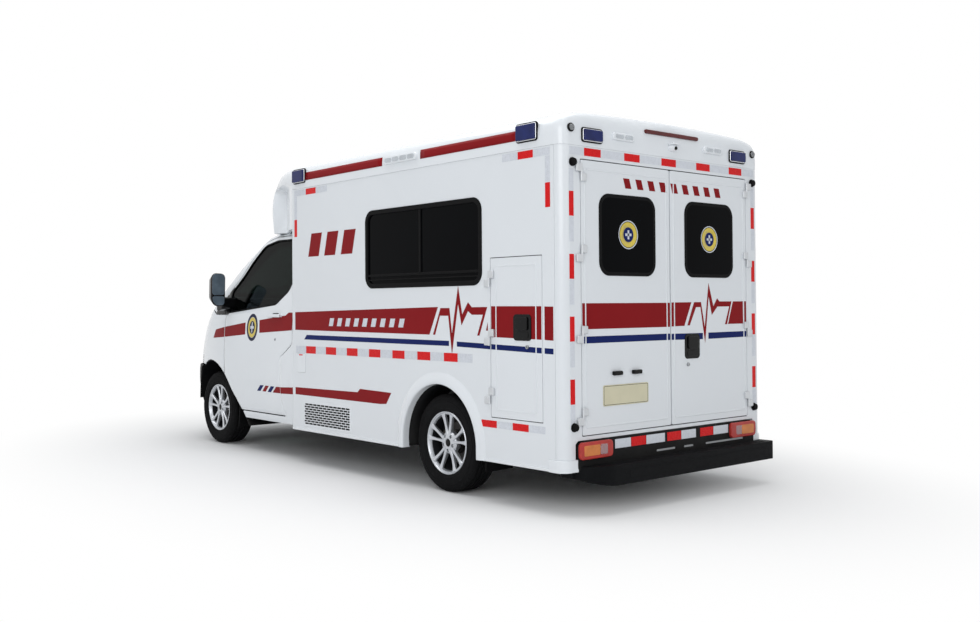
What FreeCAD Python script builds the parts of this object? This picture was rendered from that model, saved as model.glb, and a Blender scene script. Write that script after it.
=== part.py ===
import FreeCAD, Part
import math
import os

# Box-body ambulance on a long-wheelbase light van chassis-cab, in millimetres.
# +X points forward, +Y to the left, +Z up; the origin is on the ground, under the middle of the
# vehicle's bounding box. Every length along the vehicle is counted from the rear axle, at x = AXLE.

# ---- driving dimensions ----
AXLE = -1675.0            # x of the rear axle
WHEELBASE = 3750.0
FRONT = AXLE + WHEELBASE  # x of the front axle
TYRE_R = 356.0
TYRE_W = 225.0
RIM_R = 229.0             # over the rim flange
RIM_BORE_R = 196.0        # inside the rim barrel
RIM_W = 190.0
HUB_R = 68.0
SPINDLE_R = 30.0
SPINDLE_GAP = 0.6
REAR_TRACK_Y = 900.0      # tyre centre to vehicle centre
FRONT_TRACK_Y = 860.0
KINGPIN_Y = 790.0
AXLE_TUBE_R = 52.0
RAIL_Y = 360.0               # inner face of a chassis rail
RAIL_W = 70.0

BOX_HALF = 1065.0         # half the width over the side walls
BOX_REAR = AXLE - 1284.0
BOX_FRONT = AXLE + 2120.0
SKIRT_Z = 290.0
FLOOR_Z = 600.0
FLOOR_T = 50.0
SEAM_Z = 2389.0
WALL = 50.0
POST = 70.0               # depth of the rear frame, and the radius of its corners
ROOF_EDGE_Z = 2612.0
ROOF_Z = 2640.0
ROOF_T = 40.0
FAIRING_NOSE = AXLE + 2905.0
FAIRING_Z = 2104.0

CAB_HALF = 1035.0         # half the width of the cab at its waist
CAB_T = 55.0              # cab doors and pillars, outer skin to inner trim
CAB_ROOF_Z = 2100.0
NOSE_X = AXLE + 4770.0
CAB_FLOOR_Z = 600.0
GAP = 8.0                 # shut gap round doors and bonnet
LEAF_GAP = 10.0           # between the two rear doors
CAB_DOOR_GAP = 9.5        # the cab doors' rear edges swing back a little as they open
CAB_DOOR_SHIFT = 2.0      # so they sit this much nearer their hinges
GLASS_T = 5.0


# ---- outlines and simple solids ----
def place(plane, u, v, level):
    """A point of an outline: plane xz, yz or xy, at the given level of the third axis."""
    return {"xz": FreeCAD.Vector(u, level, v),
            "yz": FreeCAD.Vector(level, u, v),
            "xy": FreeCAD.Vector(u, v, level)}[plane]


def outline(corners, plane, level):
    """Closed wire through (u, v, radius) corners, each rounded by its radius."""
    count = len(corners)
    arcs = []
    for i, (u, v, r) in enumerate(corners):
        here = FreeCAD.Vector(u, v, 0)
        back = FreeCAD.Vector(corners[i - 1][0], corners[i - 1][1], 0) - here
        ahead = FreeCAD.Vector(corners[(i + 1) % count][0], corners[(i + 1) % count][1], 0) - here
        back.normalize()
        ahead.normalize()
        half = back.getAngle(ahead) / 2.0
        if r < 1e-6 or half > 1.56:
            arcs.append((here, None, here))
            continue
        run = r / math.tan(half)
        middle = back + ahead
        middle.normalize()
        centre = here + middle * (r / math.sin(half))
        arcs.append((here + back * run, centre - middle * r, here + ahead * run))
    edges = []
    for i, (start, mid, end) in enumerate(arcs):
        before = arcs[i - 1][2]
        if (start - before).Length > 1e-5:
            edges.append(Part.makeLine(place(plane, before.x, before.y, level),
                                       place(plane, start.x, start.y, level)))
        if mid is not None:
            points = [place(plane, p.x, p.y, level) for p in (start, mid, end)]
            edges.append(Part.Arc(*points).toShape())
    return Part.Wire(Part.__sortEdges__(edges))


NORMALS = {"xz": FreeCAD.Vector(0, 1, 0), "yz": FreeCAD.Vector(1, 0, 0), "xy": FreeCAD.Vector(0, 0, 1)}


def prism(corners, plane, low, high, inset=0.0):
    """Outline extruded from low to high along the axis that its plane leaves out."""
    face = Part.Face(outline(corners, plane, low))
    if inset > 0:
        face = face.makeOffset2D(-inset, 2)
    return face.extrude(NORMALS[plane] * (high - low))


def block(x0, x1, y0, y1, z0, z1):
    return Part.makeBox(x1 - x0, y1 - y0, z1 - z0, FreeCAD.Vector(x0, y0, z0))


def rod(axis, radius, x, y, z, length):
    """Cylinder that starts at (x, y, z) and runs length along +X, +Y or +Z."""
    direction = {"x": (1, 0, 0), "y": (0, 1, 0), "z": (0, 0, 1)}[axis]
    return Part.makeCylinder(radius, length, FreeCAD.Vector(x, y, z), FreeCAD.Vector(*direction))


def fuse(shapes):
    """One solid from shapes that meet."""
    whole = shapes[0].multiFuse(shapes[1:]) if len(shapes) > 1 else shapes[0]
    return whole.removeSplitter()


def mirrored(shape):
    return shape.mirror(FreeCAD.Vector(0, 0, 0), FreeCAD.Vector(0, 1, 0))


def both(shape):
    """The shape and its mirror image on the other side, as one compound."""
    return Part.makeCompound([shape, mirrored(shape)])


def save(name, shape):
    solids = shape.Solids
    piece = solids[0] if len(solids) == 1 else Part.makeCompound(solids)
    if not piece.isValid() or not solids:
        raise ValueError(name + " is not a valid solid")
    piece.exportStep(os.path.join("parts", name + ".step"))
    print(name, len(solids), "solids", round(sum(s.Volume for s in solids) / 1e9, 4), "m3")


# ---- cab ----
# Side view of the cab: x, z, corner radius.
CAB_SIDE = [
    (AXLE + 2120, 330, 0), (AXLE + 2120, 2092, 0), (AXLE + 2650, CAB_ROOF_Z, 900),
    (AXLE + 3070, 2060, 240), (AXLE + 3990, 1460, 0), (AXLE + 4570, 1140, 180),
    (AXLE + 4730, 900, 160), (NOSE_X, 690, 60), (NOSE_X, 400, 70), (AXLE + 4640, 285, 0),
    (AXLE + 3900, 285, 0), (AXLE + 2900, 330, 0)]
# Front view, left half: y, z, corner radius.
CAB_FRONT = [
    (985, 285, 0), (1030, 560, 300), (CAB_HALF, 980, 300), (1003, 1360, 500),
    (838, 1985, 110), (690, 2080, 200)]
# Plan view, left half: x, y, corner radius.
CAB_PLAN = [(NOSE_X + 18, 0, 0), (AXLE + 4710, 450, 600), (AXLE + 4500, 800, 350),
            (AXLE + 4000, CAB_HALF + 5, 500), (AXLE + 2120, CAB_HALF + 5, 0)]
COWL_X = AXLE + 3990.0
COWL_Z = 1428.0
COWL_STEP = 14.0          # the bonnet lies this much below the foot of the windscreen
SCREEN_SLOPE = math.radians(33.0)
BONNET_SLOPE = math.radians(29.0)
CROWN_R = 3900.0          # sideways curvature of the windscreen and of the bonnet


def crown(x, z, slope, inset):
    """Long drum whose top line passes (x, z) at the given slope: it rounds a surface sideways."""
    normal = FreeCAD.Vector(math.sin(slope), 0, math.cos(slope))
    along = FreeCAD.Vector(math.cos(slope), 0, -math.sin(slope))
    centre = FreeCAD.Vector(x, 0, z) - normal * CROWN_R
    return Part.makeCylinder(CROWN_R - inset, 8000, centre - along * 4000, along)


def cab_form(inset):
    """The cab's outer form, moved inwards by inset: side, front and plan view intersected."""
    front = CAB_FRONT + [(-y, z, r) for y, z, r in reversed(CAB_FRONT)]
    plan = CAB_PLAN + [(x, -y, r) for x, y, r in reversed(CAB_PLAN[1:])]
    form = prism(CAB_SIDE, "xz", -1200, 1200, inset)
    form = form.common(prism(front, "yz", AXLE + 2000, AXLE + 5000, inset))
    form = form.common(prism(plan, "xy", 0, 2400, inset))
    rear = block(AXLE + 2000, COWL_X, -1200, 1200, 0, 2400)
    ahead = block(COWL_X, AXLE + 5000, -1200, 1200, 0, 2400)
    rear = rear.common(crown(COWL_X, COWL_Z, SCREEN_SLOPE, inset))
    ahead = ahead.common(crown(COWL_X, COWL_Z - COWL_STEP, BONNET_SLOPE, inset))
    form = form.common(rear.fuse(ahead))
    if inset > 0:
        # the cab is open to the rear, against the front wall of the box
        open_end = form.common(block(AXLE + 2000, AXLE + 2400, -1200, 1200, 0, 2400))
        open_end.translate(FreeCAD.Vector(-inset - 1, 0, 0))
        form = form.fuse(open_end)
    return form


# Door outline in side view: x, z, corner radius.
CAB_DOOR = [
    (AXLE + 3105, 375, 10), (AXLE + 3250, 545, 200), (AXLE + 3425, 780, 60), (AXLE + 3485, 850, 20),
    (AXLE + 3485, 1500, 60), (AXLE + 3285, 1672, 300), (AXLE + 3165, 1795, 300),
    (AXLE + 2985, 1950, 200), (AXLE + 2760, 2022, 200), (AXLE + 2175, 2022, 40),
    (AXLE + 2175, 1025, 60), (AXLE + 2390, 895, 90), (AXLE + 2385, 500, 200), (AXLE + 2330, 375, 15)]
CAB_GLASS = [
    (AXLE + 3455, 1318, 8), (AXLE + 3455, 1500, 30), (AXLE + 3265, 1655, 300),
    (AXLE + 3145, 1775, 300), (AXLE + 2970, 1918, 200), (AXLE + 2760, 1985, 150),
    (AXLE + 2235, 1985, 40), (AXLE + 2260, 1700, 0), (AXLE + 2330, 1500, 120), (AXLE + 2520, 1385, 90)]
DOOR_RELIEF = [                     # the door's rear edge leans forward, away from the pillar it passes
    (AXLE + 2150, 1150, 0), (AXLE + 2150, 2100, 0), (AXLE + 2217, 2100, 0), (AXLE + 2187, 1150, 0)]
CAB_INSIDE = 600.0                  # doors and their glass lie outside this y
ARCH = [
    (FRONT - 690, 200, 0), (FRONT - 645, 375, 0), (FRONT - 500, 545, 250), (FRONT - 325, 780, 180),
    (FRONT - 120, 838, 200), (FRONT + 120, 835, 200), (FRONT + 330, 740, 150),
    (FRONT + 425, 560, 150), (FRONT + 425, 200, 0)]
SCREEN = [(800, 1478, 60), (655, 1985, 60)]        # windscreen, front view, left half
BONNET_HALF = 790.0
BONNET_SIDE = [(AXLE + 4000, 900, 0), (AXLE + 4000, 1600, 0), (AXLE + 5140, 1600, 0), (AXLE + 4440, 900, 0)]
BUMPER_X = AXLE + 4070.0
BUMPER_Z = 772.0
LAMP = [(AXLE + 4180, 790, 20), (AXLE + 4150, 1000, 40), (AXLE + 4480, 1010, 40), (AXLE + 4745, 880, 30),
        (AXLE + 4745, 790, 20)]
LAMP_Y = 545.0


def cab_pieces():
    """Cab shell, its doors, bonnet, glass, lamps, grille and front bumper, cut from one form."""
    outer = cab_form(0)
    far = 1400.0
    open_below = block(AXLE + 2000, AXLE + 4600, -900, 900, 0, 480)
    shell = outer.cut(cab_form(CAB_T)).cut(open_below)
    pieces = {}

    door_hole = prism(CAB_DOOR, "xz", CAB_INSIDE, far)
    glass_hole = prism(CAB_GLASS, "xz", CAB_INSIDE, far)
    glass_skin = cab_form(16).cut(cab_form(16 + GLASS_T))
    door_form = prism(CAB_DOOR, "xz", CAB_INSIDE, far, CAB_DOOR_GAP)
    door_form.translate(FreeCAD.Vector(CAB_DOOR_SHIFT, 0, 0))
    door = shell.common(door_form).cut(glass_hole)
    pieces["cab_door_left"] = door.cut(prism(DOOR_RELIEF, "xz", CAB_INSIDE, far))
    pieces["cab_glass_left"] = glass_skin.common(prism(CAB_GLASS, "xz", CAB_INSIDE, far, 1.0))
    shell = shell.cut(door_hole).cut(mirrored(door_hole))

    screen = [(y, z, r) for y, z, r in SCREEN] + [(-y, z, r) for y, z, r in reversed(SCREEN)]
    screen_hole = prism(screen, "yz", AXLE + 2990, COWL_X + 40)
    pieces["windscreen"] = cab_form(4).cut(cab_form(4 + GLASS_T)).common(screen_hole)
    shell = shell.cut(screen_hole)

    bonnet_hole = prism(BONNET_SIDE, "xz", -BONNET_HALF, BONNET_HALF)
    bonnet_form = prism(BONNET_SIDE, "xz", -BONNET_HALF + GAP, BONNET_HALF - GAP, GAP)
    pieces["bonnet"] = shell.common(bonnet_form)
    shell = shell.cut(bonnet_hole)

    arch = prism(ARCH, "xz", 500, far)
    shell = shell.cut(arch).cut(mirrored(arch))

    bumper_zone = block(BUMPER_X, AXLE + 5000, -far, far, 0, BUMPER_Z)
    pieces["front_bumper"] = shell.common(bumper_zone)
    lamp_zone = prism(LAMP, "xz", LAMP_Y, far)
    pieces["headlamps"] = both(shell.common(lamp_zone))
    grille_zone = block(AXLE + 4500, AXLE + 5000, -LAMP_Y + 1, LAMP_Y - 1, BUMPER_Z, 1003)
    pieces["grille"] = shell.common(grille_zone)
    for zone in (bumper_zone, lamp_zone, mirrored(lamp_zone), grille_zone):
        shell = shell.cut(zone)
    pieces["cab_shell"] = fuse([shell] + cab_structure())
    return pieces


def cab_structure():
    """Floor, footwell, bulkhead, wheelhouses and sills of the cab."""
    half = 960.0
    bulkhead_half = 920.0
    plate = 40.0
    wheel_y = 560.0
    house_r = 478.0
    skin = 10.0
    floor = block(BOX_FRONT, FRONT - 470, -half, half, CAB_FLOOR_Z, CAB_FLOOR_Z + plate)
    bulkhead = block(FRONT - 350, FRONT - 310, -bulkhead_half, bulkhead_half, CAB_FLOOR_Z + 230, 1400)
    toe = prism([(FRONT - 500, CAB_FLOOR_Z, 0), (FRONT - 310, CAB_FLOOR_Z + 235, 0),
                 (FRONT - 350, CAB_FLOOR_Z + 245, 0), (FRONT - 540, CAB_FLOOR_Z + 20, 0)],
                "xz", -half, half)
    cowl = block(FRONT - 350, COWL_X - 60, -780, 780, 1360, 1400)
    rounds = []
    for side in (1, -1):
        start = wheel_y if side > 0 else -985.0
        length = 985.0 - wheel_y
        house = rod("y", house_r + skin, FRONT, start, TYRE_R, length)
        house = house.cut(rod("y", house_r, FRONT, start - 1, TYRE_R, length + 2))
        house = house.common(block(FRONT - 600, BUMPER_X - 2, -1000, 1000, 480, 900))
        rounds.append(house)
    sill = block(BOX_FRONT, FRONT - 640, 865, 985, 335, 370)
    riser = block(BOX_FRONT, FRONT - 640, 865, 880, 335, CAB_FLOOR_Z + 10)
    sills = [sill, riser, mirrored(sill), mirrored(riser)]
    outer = cab_form(1.0)
    return [s.common(outer) for s in [floor, bulkhead, toe, cowl] + rounds + sills]


def mirror_head(side):
    """Door mirror: head on a thick arm that leaves the front corner of the window."""
    arm = prism([(AXLE + 3350, 1330, 20), (AXLE + 3350, 1500, 20), (AXLE + 3480, 1430, 20),
                 (AXLE + 3480, 1310, 20)], "xz", 955, 1120)
    head = prism([(1085, 1375, 40), (1080, 1690, 40), (1235, 1700, 50), (1240, 1420, 60),
                  (1200, 1360, 40)], "yz", AXLE + 3330, AXLE + 3440)
    whole = fuse([arm, head])
    return whole if side > 0 else mirrored(whole)


def dashboard():
    """Dashboard across the cab, with the steering column and wheel."""
    half = 900.0
    board = prism([(FRONT - 352, 960, 30), (FRONT - 352, 1395, 10), (FRONT - 420, 1400, 20),
                   (FRONT - 610, 1290, 60), (FRONT - 640, 1180, 40), (FRONT - 560, 930, 40)],
                  "xz", -half, half)
    wheel_x, wheel_y, wheel_z = FRONT - 790, 430.0, 1200.0
    tilt = math.radians(28)
    axis = FreeCAD.Vector(-math.cos(tilt), 0, math.sin(tilt))
    centre = FreeCAD.Vector(wheel_x, wheel_y, wheel_z)
    ring = Part.makeTorus(190, 16, centre, axis)
    hub = Part.makeCylinder(60, 40, centre - axis * 30, axis)
    spokes = []
    for turn in (0, 90, 180):
        spoke = Part.makeBox(135, 28, 14, FreeCAD.Vector(50, -14, -7))
        spoke.rotate(FreeCAD.Vector(0, 0, 0), FreeCAD.Vector(0, 0, 1), turn - 90)
        spoke.rotate(FreeCAD.Vector(0, 0, 0), FreeCAD.Vector(0, 1, 0), -(90 - math.degrees(tilt)))
        spoke.translate(centre)
        spokes.append(spoke)
    column = Part.makeCylinder(38, 260, centre - axis * 260, axis)
    return fuse([board, column, hub, ring] + spokes)


def cab_seats():
    """Two front seats, each a cushion, a back and a head restraint on its base."""
    seats = []
    for middle in (430.0, -430.0):
        low, high = middle - 250, middle + 250
        base = block(AXLE + 2560, AXLE + 2960, low + 40, high - 40, CAB_FLOOR_Z + 40, 850)
        cushion = prism([(AXLE + 2500, 850, 30), (AXLE + 2500, 960, 50), (AXLE + 3020, 1010, 60),
                         (AXLE + 3020, 850, 50)], "xz", low, high)
        back = prism([(AXLE + 2470, 900, 30), (AXLE + 2330, 1560, 50), (AXLE + 2430, 1585, 50),
                      (AXLE + 2600, 940, 40)], "xz", low + 10, high - 10)
        head = prism([(AXLE + 2345, 1600, 30), (AXLE + 2320, 1780, 35), (AXLE + 2400, 1795, 35),
                      (AXLE + 2430, 1610, 30)], "xz", middle - 130, middle + 130)
        stalk = block(AXLE + 2372, AXLE + 2388, middle - 60, middle + 60, 1560, 1625)
        seats.append(fuse([base, cushion, back, head, stalk]))
    return Part.makeCompound(seats)


# ---- wheels, axles and chassis ----
def tyre(x, y):
    """Closed ring with rounded shoulders, standing on the ground."""
    half = TYRE_W / 2
    bead = RIM_W / 2 - 5
    section = [(y - bead, RIM_BORE_R + 14, 0), (y - bead, RIM_R + 1, 0), (y - half + 4, RIM_R + 6, 0),
               (y - half, 266, 30), (y - half + 4, 318, 30), (y - half + 26, TYRE_R, 22),
               (y + half - 26, TYRE_R, 22), (y + half - 4, 318, 30), (y + half, 266, 30),
               (y + half - 4, RIM_R + 6, 0), (y + bead, RIM_R + 1, 0), (y + bead, RIM_BORE_R + 14, 0)]
    face = Part.Face(outline(section, "yz", 0))
    ring = face.revolve(FreeCAD.Vector(0, 0, 0), FreeCAD.Vector(0, 1, 0), 360)
    ring = ring.cut(rod("y", RIM_BORE_R + 14.5, 0, y - 200, 0, 400))
    ring.translate(FreeCAD.Vector(x, 0, TYRE_R))
    return ring


def rim(x, y, side):
    """Barrel, five split spokes, hub and brake disc; side is +1 on the left."""
    half = RIM_W / 2
    out = y + side * (half - 24)
    barrel = rod("y", RIM_BORE_R + 14, 0, y - half, 0, RIM_W)
    for end in (y - half - 6, y + half - 4):
        barrel = barrel.fuse(rod("y", RIM_R, 0, end, 0, 10))
    barrel = barrel.cut(rod("y", RIM_BORE_R, 0, y - half - 20, 0, RIM_W + 40))
    parts = [barrel, rod("y", HUB_R, 0, min(out, out - side * 30), 0, 30)]
    for turn in range(5):
        for lean in (-1, 1):
            arm = prism([(-13, 40, 0), (13, 40, 0), (10 + lean * 42, 202, 0), (-10 + lean * 42, 202, 0)],
                        "xz", min(out, out - side * 26), max(out, out - side * 26))
            arm.rotate(FreeCAD.Vector(0, 0, 0), FreeCAD.Vector(0, 1, 0), 72 * turn)
            parts.append(arm)
    hub_in = y - side * 40
    parts.append(rod("y", HUB_R, 0, min(out, hub_in), 0, abs(out - hub_in)))
    parts.append(rod("y", 150, 0, min(hub_in, hub_in - side * 22), 0, 22))
    whole = fuse(parts)
    bore_start = min(hub_in - side * 30, out - side * 28)
    whole = whole.cut(rod("y", SPINDLE_R + SPINDLE_GAP, 0, bore_start, 0,
                          abs(hub_in - side * 30 - out + side * 28)))
    whole.translate(FreeCAD.Vector(x, 0, TYRE_R))
    return whole


def knuckle(side):
    """Steering knuckle: upright on the kingpin line, with the spindle that carries the wheel."""
    upright = block(FRONT - 35, FRONT + 35, KINGPIN_Y - 118, KINGPIN_Y - 62, 222, 520)
    hub_in = FRONT_TRACK_Y - 40 - 22
    spindle = rod("y", SPINDLE_R, FRONT, KINGPIN_Y - 70, TYRE_R, FRONT_TRACK_Y + 35 - (KINGPIN_Y - 70))
    collar = rod("y", 60, FRONT, KINGPIN_Y - 70, TYRE_R, hub_in - 8 - (KINGPIN_Y - 70))
    arm = block(FRONT - 190, FRONT, KINGPIN_Y - 85, KINGPIN_Y - 62, 300, 340)
    whole = fuse([upright, spindle, collar, arm])
    return whole if side > 0 else mirrored(whole)


def front_suspension():
    """Subframe across the engine bay, with a lower arm and a strut at each side."""
    beam = block(FRONT - 130, FRONT + 130, -440, 440, 215, 275)
    rises = [block(FRONT - 60, FRONT + 60, s * 430 - 20, s * 430 + 20, 215, 465) for s in (1, -1)]
    arms = []
    for side in (1, -1):
        arm = prism([(FRONT - 120, side * 430, 0), (FRONT + 120, side * 430, 0),
                     (FRONT + 40, side * 655, 30), (FRONT - 40, side * 655, 30)], "xy", 226, 262)
        mount = block(FRONT - 30, FRONT + 30, min(side * 600, side * 655), max(side * 600, side * 655),
                      226, 300)
        strut = rod("z", 34, FRONT, side * 622, 262, 560)
        arms += [arm, mount, strut]
    return fuse([beam] + rises + arms)


def rear_axle():
    """Axle tube with its differential, the spindles and the propeller shaft."""
    hub_in = REAR_TRACK_Y - 40 - 22
    tube = rod("y", AXLE_TUBE_R, AXLE, -(hub_in - 8), TYRE_R, 2 * (hub_in - 8))
    spindle = rod("y", SPINDLE_R, AXLE, -(REAR_TRACK_Y + 35), TYRE_R, 2 * (REAR_TRACK_Y + 35))
    ball = Part.makeSphere(165, FreeCAD.Vector(AXLE, 0, TYRE_R))
    ball = ball.common(block(AXLE - 165, AXLE + 165, -120, 120, 190, 522))
    nose = rod("x", 60, AXLE + 120, 0, TYRE_R, 150)
    shaft = rod("x", 36, AXLE + 250, 0, TYRE_R, FRONT - 560 - AXLE - 250)
    return fuse([tube, spindle, ball, nose, shaft])


def leaf_springs():
    """One leaf pack a side, curved down over the axle, with its clamp plate and shackles."""
    rail_y, half = 560.0, 35.0
    packs = []
    for side in (1, -1):
        low, high = side * rail_y - half, side * rail_y + half
        leaf = prism([(AXLE - 700, 440, 0), (AXLE - 250, 412, 900), (AXLE + 250, 412, 900),
                      (AXLE + 700, 440, 0), (AXLE + 700, 456, 0), (AXLE + 250, 436, 900),
                      (AXLE - 250, 436, 900), (AXLE - 700, 456, 0)], "xz", low, high)
        clamp = block(AXLE - 70, AXLE + 70, low - 8, high + 8, TYRE_R + AXLE_TUBE_R + 0.5, 446)
        hangers = []
        for x in (AXLE - 700, AXLE + 700):
            eye = rod("y", 24, x, low, 448, 2 * half)
            strap = block(x - 22, x + 22, low, high, 448, FLOOR_Z)
            hangers += [eye, strap]
        packs.append(fuse([leaf, clamp] + hangers))
    return Part.makeCompound(packs)


def chassis_rails():
    """Two rails that kick down under the cab."""
    low, high = 470.0, 600.0
    rail = [(BOX_REAR + POST, low, 0), (FRONT - 420, low, 0), (FRONT + 560, low, 0),
            (FRONT + 560, low + 110, 0), (FRONT - 420, low + 110, 0), (BOX_FRONT + 300, low + 110, 0),
            (BOX_FRONT - 20, high, 0), (BOX_REAR + POST, high, 0)]
    return both(prism(rail, "xz", RAIL_Y, RAIL_Y + RAIL_W))


def crossmembers():
    """Members between the rails, and outriggers from the rails to the side walls."""
    low, high = 485.0, 575.0
    places = (AXLE - 1180, AXLE - 640, AXLE + 560, AXLE + 1300, BOX_FRONT - 100, FRONT - 640, FRONT + 500)
    members = [block(x, x + 60, -RAIL_Y, RAIL_Y, low, high) for x in places]
    for x in (AXLE - 1000, AXLE + 620, AXLE + 1300, BOX_FRONT - 180):
        outrigger = block(x, x + 50, RAIL_Y + RAIL_W, 1000, FLOOR_Z - 60, FLOOR_Z)
        members += [outrigger, mirrored(outrigger)]
    return Part.makeCompound(members)


def engine():
    """Engine block with its gearbox."""
    motor = block(FRONT - 40, FRONT + 520, -300, 300, 590, 1010)
    sump = block(FRONT + 40, FRONT + 440, -240, 240, 300, 600)
    gearbox = block(FRONT - 560, FRONT - 30, -150, 150, 330, 590)
    bell = block(FRONT - 200, FRONT + 60, -210, 210, 420, 700)
    return fuse([motor, sump, gearbox, bell])


def exhaust():
    """Pipe from the engine to a silencer under the box, and a tail pipe behind it."""
    y, z = -265.0, 405.0
    front_pipe = rod("x", 30, AXLE + 1500, y, z, 1600)
    silencer = rod("x", 85, AXLE + 950, y, z - 20, 560)
    tail = rod("x", 30, AXLE + 420, y, z, 560)
    return fuse([front_pipe, silencer, tail])


def fuel_tank():
    tank = block(AXLE + 850, AXLE + 1850, -960, -470, 310, 530)
    tank = tank.makeFillet(40, tank.Edges)
    straps = [block(AXLE + x, AXLE + x + 40, -800, -760, 520, FLOOR_Z) for x in (1050, 1600)]
    return fuse([tank] + straps)


# ---- body box ----
WINDOW = [(AXLE - 480, 1514, 80), (AXLE + 930, 1514, 80), (AXLE + 930, 2100, 80), (AXLE - 480, 2100, 80)]
LOCKER = (AXLE - 1095, AXLE - 583, 595.0, 1682.0)      # x from, to, z from, to
SIDE_DOOR = (AXLE + 1130, AXLE + 1900, 430.0, 2210.0)
SIDE_DOOR_GLASS = (AXLE + 1250, AXLE + 1780, 1480.0, 2070.0)
ARCH_R = 432.0
FLARE_W = 105.0
FLARE_OUT = 22.0
REAR_DOOR = (890.0, 511.0, 2300.0)                     # half width, z from, to
REAR_GLASS = (163.0, 720.0, 1553.0, 2090.0)            # y from, to, z from, to


def arch_hole(out):
    """The opening round a rear wheel, widened to a radius of out, down past the skirt."""
    disc = rod("y", out, AXLE, 500, TYRE_R, 800)
    below = block(AXLE - out, AXLE + out, 500, 1300, 0, TYRE_R)
    return disc.fuse(below)


def side_wall(side):
    """Side wall with its skirt, window hole and wheel arch with a proud flare."""
    y_in = BOX_HALF - WALL
    wall = block(BOX_REAR + POST, BOX_FRONT, y_in, BOX_HALF, SKIRT_Z, SEAM_Z)
    flare = arch_hole(ARCH_R + FLARE_W).common(
        block(AXLE - 600, AXLE + 600, y_in, BOX_HALF + FLARE_OUT, SKIRT_Z + 4, 1000))
    wall = wall.fuse(flare).cut(arch_hole(ARCH_R))
    wall = wall.cut(prism(WINDOW, "xz", 900, 1200))
    return wall if side > 0 else mirrored(wall)


def left_wall():
    x0, x1, z0, z1 = LOCKER
    wall = side_wall(1)
    depth, skin = 290.0, 12.0
    bottom = FLOOR_Z + FLOOR_T
    y_in = BOX_HALF - WALL
    liner = block(x0 - skin, x1 + skin, y_in - depth, y_in, bottom, z1 + skin)
    liner = liner.cut(block(x0 + 2, x1 - 2, y_in - depth + skin, BOX_HALF, bottom + skin, z1 - 2))
    hole = block(x0 - GAP, x1 + GAP, BOX_HALF - WALL - 1, BOX_HALF + 1, z0 - GAP, z1 + GAP)
    return fuse([wall.cut(hole), liner])


def right_wall():
    x0, x1, z0, z1 = SIDE_DOOR
    hole = block(x0 - GAP, x1 + GAP, -BOX_HALF - 1, -BOX_HALF + WALL + 1, z0 - GAP, z1 + GAP)
    return side_wall(-1).cut(hole).removeSplitter()


def side_windows():
    return both(prism(WINDOW, "xz", BOX_HALF - 30, BOX_HALF - 22))


def locker_door():
    x0, x1, z0, z1 = LOCKER
    return block(x0, x1, BOX_HALF - WALL + 10, BOX_HALF, z0, z1)


def side_door():
    x0, x1, z0, z1 = SIDE_DOOR
    g0, g1, h0, h1 = SIDE_DOOR_GLASS
    panel = block(x0, x1, -BOX_HALF, -BOX_HALF + WALL - 5, z0, z1)
    hole = prism([(g0, h0, 80), (g1, h0, 80), (g1, h1, 80), (g0, h1, 80)], "xz", -1200, -900)
    glass = prism([(g0, h0, 80), (g1, h0, 80), (g1, h1, 80), (g0, h1, 80)], "xz",
                  -BOX_HALF + 20, -BOX_HALF + 26)
    return panel.cut(hole), glass


def rear_door(side):
    """One leaf of the rear doors, with its window hole; side is +1 on the left."""
    half, z0, z1 = REAR_DOOR
    y0, y1, h0, h1 = REAR_GLASS
    panel = block(BOX_REAR, BOX_REAR + WALL, LEAF_GAP / 2, half, z0, z1)
    corners = [(y0, h0, 90), (y1, h0, 90), (y1, h1, 90), (y0, h1, 90)]
    panel = panel.cut(prism(corners, "yz", BOX_REAR - 10, BOX_REAR + 200))
    glass = prism(corners, "yz", BOX_REAR + 20, BOX_REAR + 26)
    if side < 0:
        panel, glass = mirrored(panel), mirrored(glass)
    return panel, glass


def rear_frame():
    """Frame round the rear doors, with rounded corner posts and the sill."""
    half, z0, z1 = REAR_DOOR
    corners = [(BOX_REAR, -BOX_HALF, POST - 2), (BOX_REAR + POST, -BOX_HALF, 0),
               (BOX_REAR + POST, BOX_HALF, 0), (BOX_REAR, BOX_HALF, POST - 2)]
    frame = prism(corners, "xy", SKIRT_Z, SEAM_Z)
    hole = block(BOX_REAR - 1, BOX_REAR + POST + 1, -half - GAP, half + GAP, z0 - GAP, z1 + GAP)
    under = block(BOX_REAR - 1, BOX_REAR + POST + 1, -955, 955, SKIRT_Z - 1, 482)
    return frame.cut(hole).cut(under).removeSplitter()


def front_wall():
    """Wall between the cab and the box, with a hatch opening."""
    wall = block(BOX_FRONT - WALL, BOX_FRONT, -BOX_HALF + WALL, BOX_HALF - WALL, FLOOR_Z, SEAM_Z)
    hatch = [(-300, 1300, 60), (300, 1300, 60), (300, 1850, 60), (-300, 1850, 60)]
    return wall.cut(prism(hatch, "yz", BOX_FRONT - 100, BOX_FRONT + 100))


def box_floor():
    """Floor plate with a wheelhouse over each rear wheel."""
    half = BOX_HALF - WALL
    house_y = 745.0
    plate = block(BOX_REAR + POST, BOX_FRONT - WALL, -half, half, FLOOR_Z, FLOOR_Z + FLOOR_T)
    for side in (1, -1):
        start = house_y if side > 0 else -half
        length = half - house_y
        plate = plate.fuse(rod("y", ARCH_R + 22, AXLE, start, TYRE_R, length)
                           .common(block(AXLE - 500, AXLE + 500, -half, half, FLOOR_Z, 900)))
        opening = start + 20 if side > 0 else -half - 1
        plate = plate.cut(rod("y", ARCH_R, AXLE, opening, TYRE_R, length - 19))
    return plate.removeSplitter()


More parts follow.
